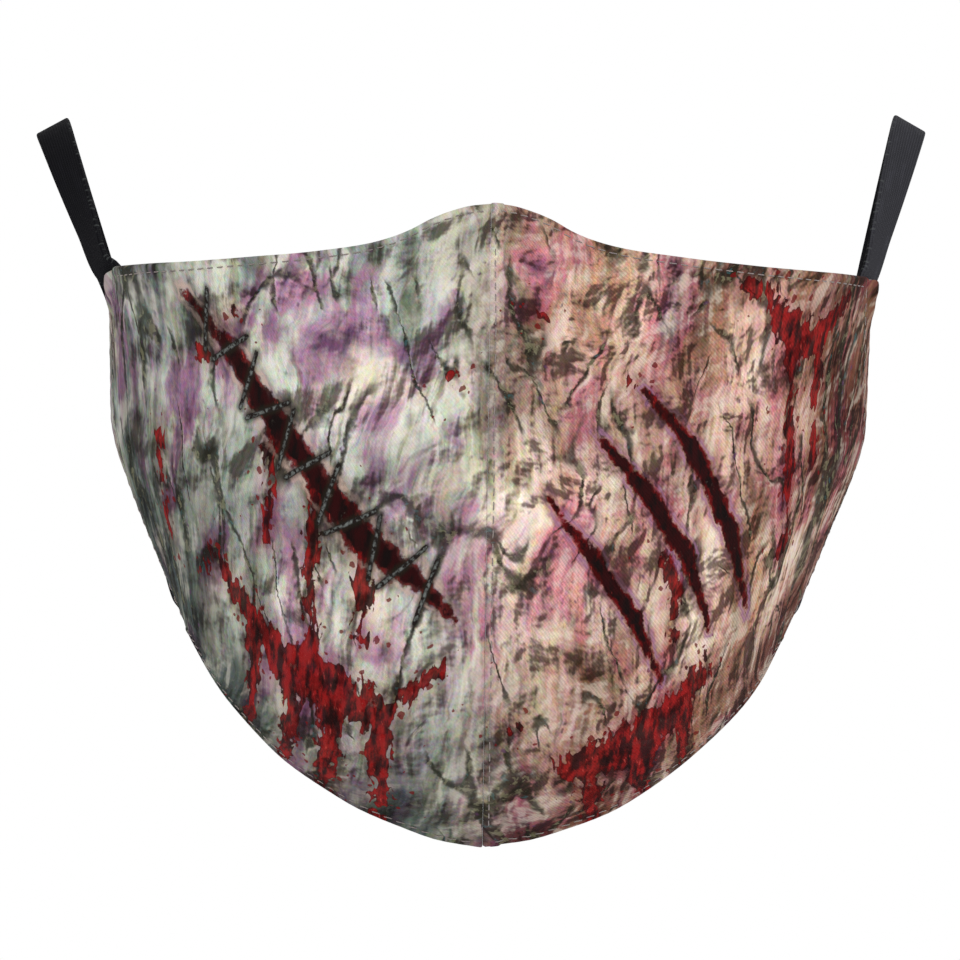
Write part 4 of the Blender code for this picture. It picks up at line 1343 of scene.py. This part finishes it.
def sewing_thread(colours):
    """Twisted thread: fine slanting strands and a slight gloss."""
    dye = Dye("sewing_thread")
    places = dye.node("ShaderNodeTexCoord").outputs["Object"]
    strands = dye.noise(dye.scaled(dye.turned(places, 35), (2200, 2200, 5200)), 1.0, 2.0, 0.5)
    colour = dye.blend(dye.step(strands, 0.35, 0.65), dye.blend(0.45, colours.thread, colours.plum), colours.thread)
    normal = dye.bump(strands, 0.00005, 0.7)
    rough = dye.step(strands, 0.3, 0.7, 0.50, 0.68)
    return dye.finish(Base_Color=colour, Roughness=rough, Normal=normal, Sheen_Weight=0.1)


def pale_floor():
    dye = Dye("pale_floor")
    places = dye.node("ShaderNodeTexCoord").outputs["Object"]
    cloud = dye.noise(places, 2.2, 4.0, 0.6)
    colour = dye.blend(dye.step(cloud, 0.3, 0.7), (0.86, 0.86, 0.86), (0.90, 0.90, 0.90))
    rough = dye.step(cloud, 0.3, 0.7, 0.72, 0.84)
    return dye.finish(Base_Color=colour, Roughness=rough)


def finish_named(name, make, *settings):
    """A finish that several pieces share, made by the first of them."""
    return bpy.data.materials.get(name) or make(*settings)


def dressed(piece, node=None):
    """Puts a piece on the frame, in place of a plain node where it stands for one."""
    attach(piece, "root")
    if node:
        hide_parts(node)
    return piece


class MASK_OT_sewing_thread(bpy.types.Operator):
    """Sew the hems, the sleeves and the centre seam"""

    bl_idname = "mask.sewing_thread"
    bl_label = "Sewing thread"

    def execute(self, context):
        sizes, colours = context.scene.mask_sizes, context.scene.mask_colours
        thread = finish_named("sewing_thread", sewing_thread, colours)
        dressed(stitching_piece(thread, sizes))
        return {"FINISHED"}


class MASK_OT_sleeves(bpy.types.Operator):
    """Make the two side sleeves that hold the elastic"""

    bl_idname = "mask.sleeves"
    bl_label = "Side sleeves"

    def execute(self, context):
        sizes, colours = context.scene.mask_sizes, context.scene.mask_colours
        cloth = finish_named("printed_twill", printed_cloth, colours, sizes)
        reverse = finish_named("plain_reverse", plain_reverse, colours, sizes)
        for word in SIDES:
            dressed(sleeve_piece(word, sizes, cloth, reverse), f"{word}_sleeve")
        return {"FINISHED"}


class MASK_OT_printed_panels(bpy.types.Operator):
    """Make the two printed halves of the mask"""

    bl_idname = "mask.printed_panels"
    bl_label = "Printed panels"

    def execute(self, context):
        sizes, colours = context.scene.mask_sizes, context.scene.mask_colours
        cloth = finish_named("printed_twill", printed_cloth, colours, sizes)
        reverse = finish_named("plain_reverse", plain_reverse, colours, sizes)
        for word in SIDES:
            panel = dressed(panel_piece(word, sizes, cloth, reverse), f"{word}_panel")
        return {"FINISHED"}


class MASK_OT_ear_loops(bpy.types.Operator):
    """Make the two elastic ear loops"""

    bl_idname = "mask.ear_loops"
    bl_label = "Ear loops"

    def execute(self, context):
        sizes, colours = context.scene.mask_sizes, context.scene.mask_colours
        elastic = finish_named("knitted_elastic", knitted_elastic, colours, sizes)
        for word in SIDES:
            dressed(ear_loop_piece(word, elastic), f"{word}_ear_loop")
        return {"FINISHED"}


Cut = namedtuple("Cut", "width length area")


CAMERA_AWAY = 7.5
PICTURE_WIDTH = 0.1838
PICTURE_MIDDLE = Vector((-0.00145, 0.0, -0.05324))
CAMERA_ROLL = math.radians(-0.8)
SENSOR_WIDTH = 36.0
FLOOR_BELOW = -0.35
FLOOR_REACH = 1.6


class MASK_OT_stage(bpy.types.Operator):
    """Set the floor, the lights and the camera"""

    bl_idname = "mask.stage"
    bl_label = "Stage"

    def execute(self, context):
        floor = solid_piece(
            "pale_floor",
            np.array(
                [
                    (-FLOOR_REACH, -FLOOR_REACH, FLOOR_BELOW),
                    (FLOOR_REACH, -FLOOR_REACH, FLOOR_BELOW),
                    (FLOOR_REACH, FLOOR_REACH, FLOOR_BELOW),
                    (-FLOOR_REACH, FLOOR_REACH, FLOOR_BELOW),
                ]
            ),
            np.array([(0, 1, 2, 3)]),
        )
        floor.data.materials.append(pale_floor())
        self.light_room(context.scene)
        self.place_lamp("window_light", (-1.1, -1.5, 1.3), 1.3, 16.0)
        self.place_lamp("right_light", (1.7, -0.6, 0.5), 0.9, 13.0)
        self.place_lamp("back_light", (0.2, 1.6, 1.4), 1.2, 8.0)
        self.place_camera(context.scene)
        context.scene.view_settings.view_transform = "Standard"
        return {"FINISHED"}

    def light_room(self, scene):
        world = bpy.data.worlds.new("white_room")
        world.use_nodes = True
        tree = world.node_tree
        seen = tree.nodes["Background"]
        seen.inputs["Color"].default_value = (1.0, 1.0, 1.0, 1.0)
        seen.inputs["Strength"].default_value = 1.0
        glow = tree.nodes.new("ShaderNodeBackground")
        glow.inputs["Color"].default_value = (1.0, 1.0, 1.0, 1.0)
        glow.inputs["Strength"].default_value = 0.62
        path = tree.nodes.new("ShaderNodeLightPath")
        mix = tree.nodes.new("ShaderNodeMixShader")
        tree.links.new(path.outputs["Is Camera Ray"], mix.inputs[0])
        tree.links.new(glow.outputs[0], mix.inputs[1])
        tree.links.new(seen.outputs[0], mix.inputs[2])
        tree.links.new(mix.outputs[0], tree.nodes["World Output"].inputs["Surface"])
        scene.world = world

    def place_lamp(self, name, place, size, power):
        data = bpy.data.lights.new(name, "AREA")
        data.size = size
        data.energy = power
        lamp = bpy.data.objects.new(name, data)
        lamp.location = place
        aim = PICTURE_MIDDLE - Vector(place)
        lamp.rotation_euler = aim.to_track_quat("-Z", "Y").to_euler()
        bpy.context.scene.collection.objects.link(lamp)

    def place_camera(self, scene):
        data = bpy.data.cameras.new("front_camera")
        data.sensor_width = SENSOR_WIDTH
        data.lens = SENSOR_WIDTH * CAMERA_AWAY / PICTURE_WIDTH
        data.clip_end = 50.0
        camera = bpy.data.objects.new("front_camera", data)
        camera.location = PICTURE_MIDDLE - Vector((0.0, CAMERA_AWAY, 0.0))
        camera.rotation_euler = (math.radians(90), CAMERA_ROLL, 0.0)
        scene.collection.objects.link(camera)
        scene.camera = camera


class MASK_PT_workshop(bpy.types.Panel):
    bl_idname = "MASK_PT_workshop"
    bl_label = "Face mask"
    bl_space_type = "VIEW_3D"
    bl_region_type = "UI"
    bl_category = "Face mask"

    def draw(self, context):
        for group in (context.scene.mask_sizes, context.scene.mask_colours):
            box = self.layout.box()
            for name in group.__annotations__:
                box.prop(group, name)
        for operator in PIECE_OPERATORS:
            self.layout.operator(operator.bl_idname)


PIECE_OPERATORS = (
    MASK_OT_sleeves,
    MASK_OT_printed_panels,
    MASK_OT_ear_loops,
    MASK_OT_sewing_thread,
    MASK_OT_stage,
)
CLASSES = (MaskSizes, MaskColours, *PIECE_OPERATORS, MASK_PT_workshop)


def register():
    for each in CLASSES:
        bpy.utils.register_class(each)
    bpy.types.Scene.mask_sizes = bpy.props.PointerProperty(type=MaskSizes)
    bpy.types.Scene.mask_colours = bpy.props.PointerProperty(type=MaskColours)


def unregister():
    del bpy.types.Scene.mask_colours
    del bpy.types.Scene.mask_sizes
    for each in reversed(CLASSES):
        bpy.utils.unregister_class(each)


def main():
    register()
    bpy.ops.mask.sleeves()
    bpy.ops.mask.printed_panels()
    bpy.ops.mask.ear_loops()
    bpy.ops.mask.sewing_thread()
    bpy.ops.mask.stage()
    bpy.context.view_layer.update()


if __name__ == "__main__":
    main()
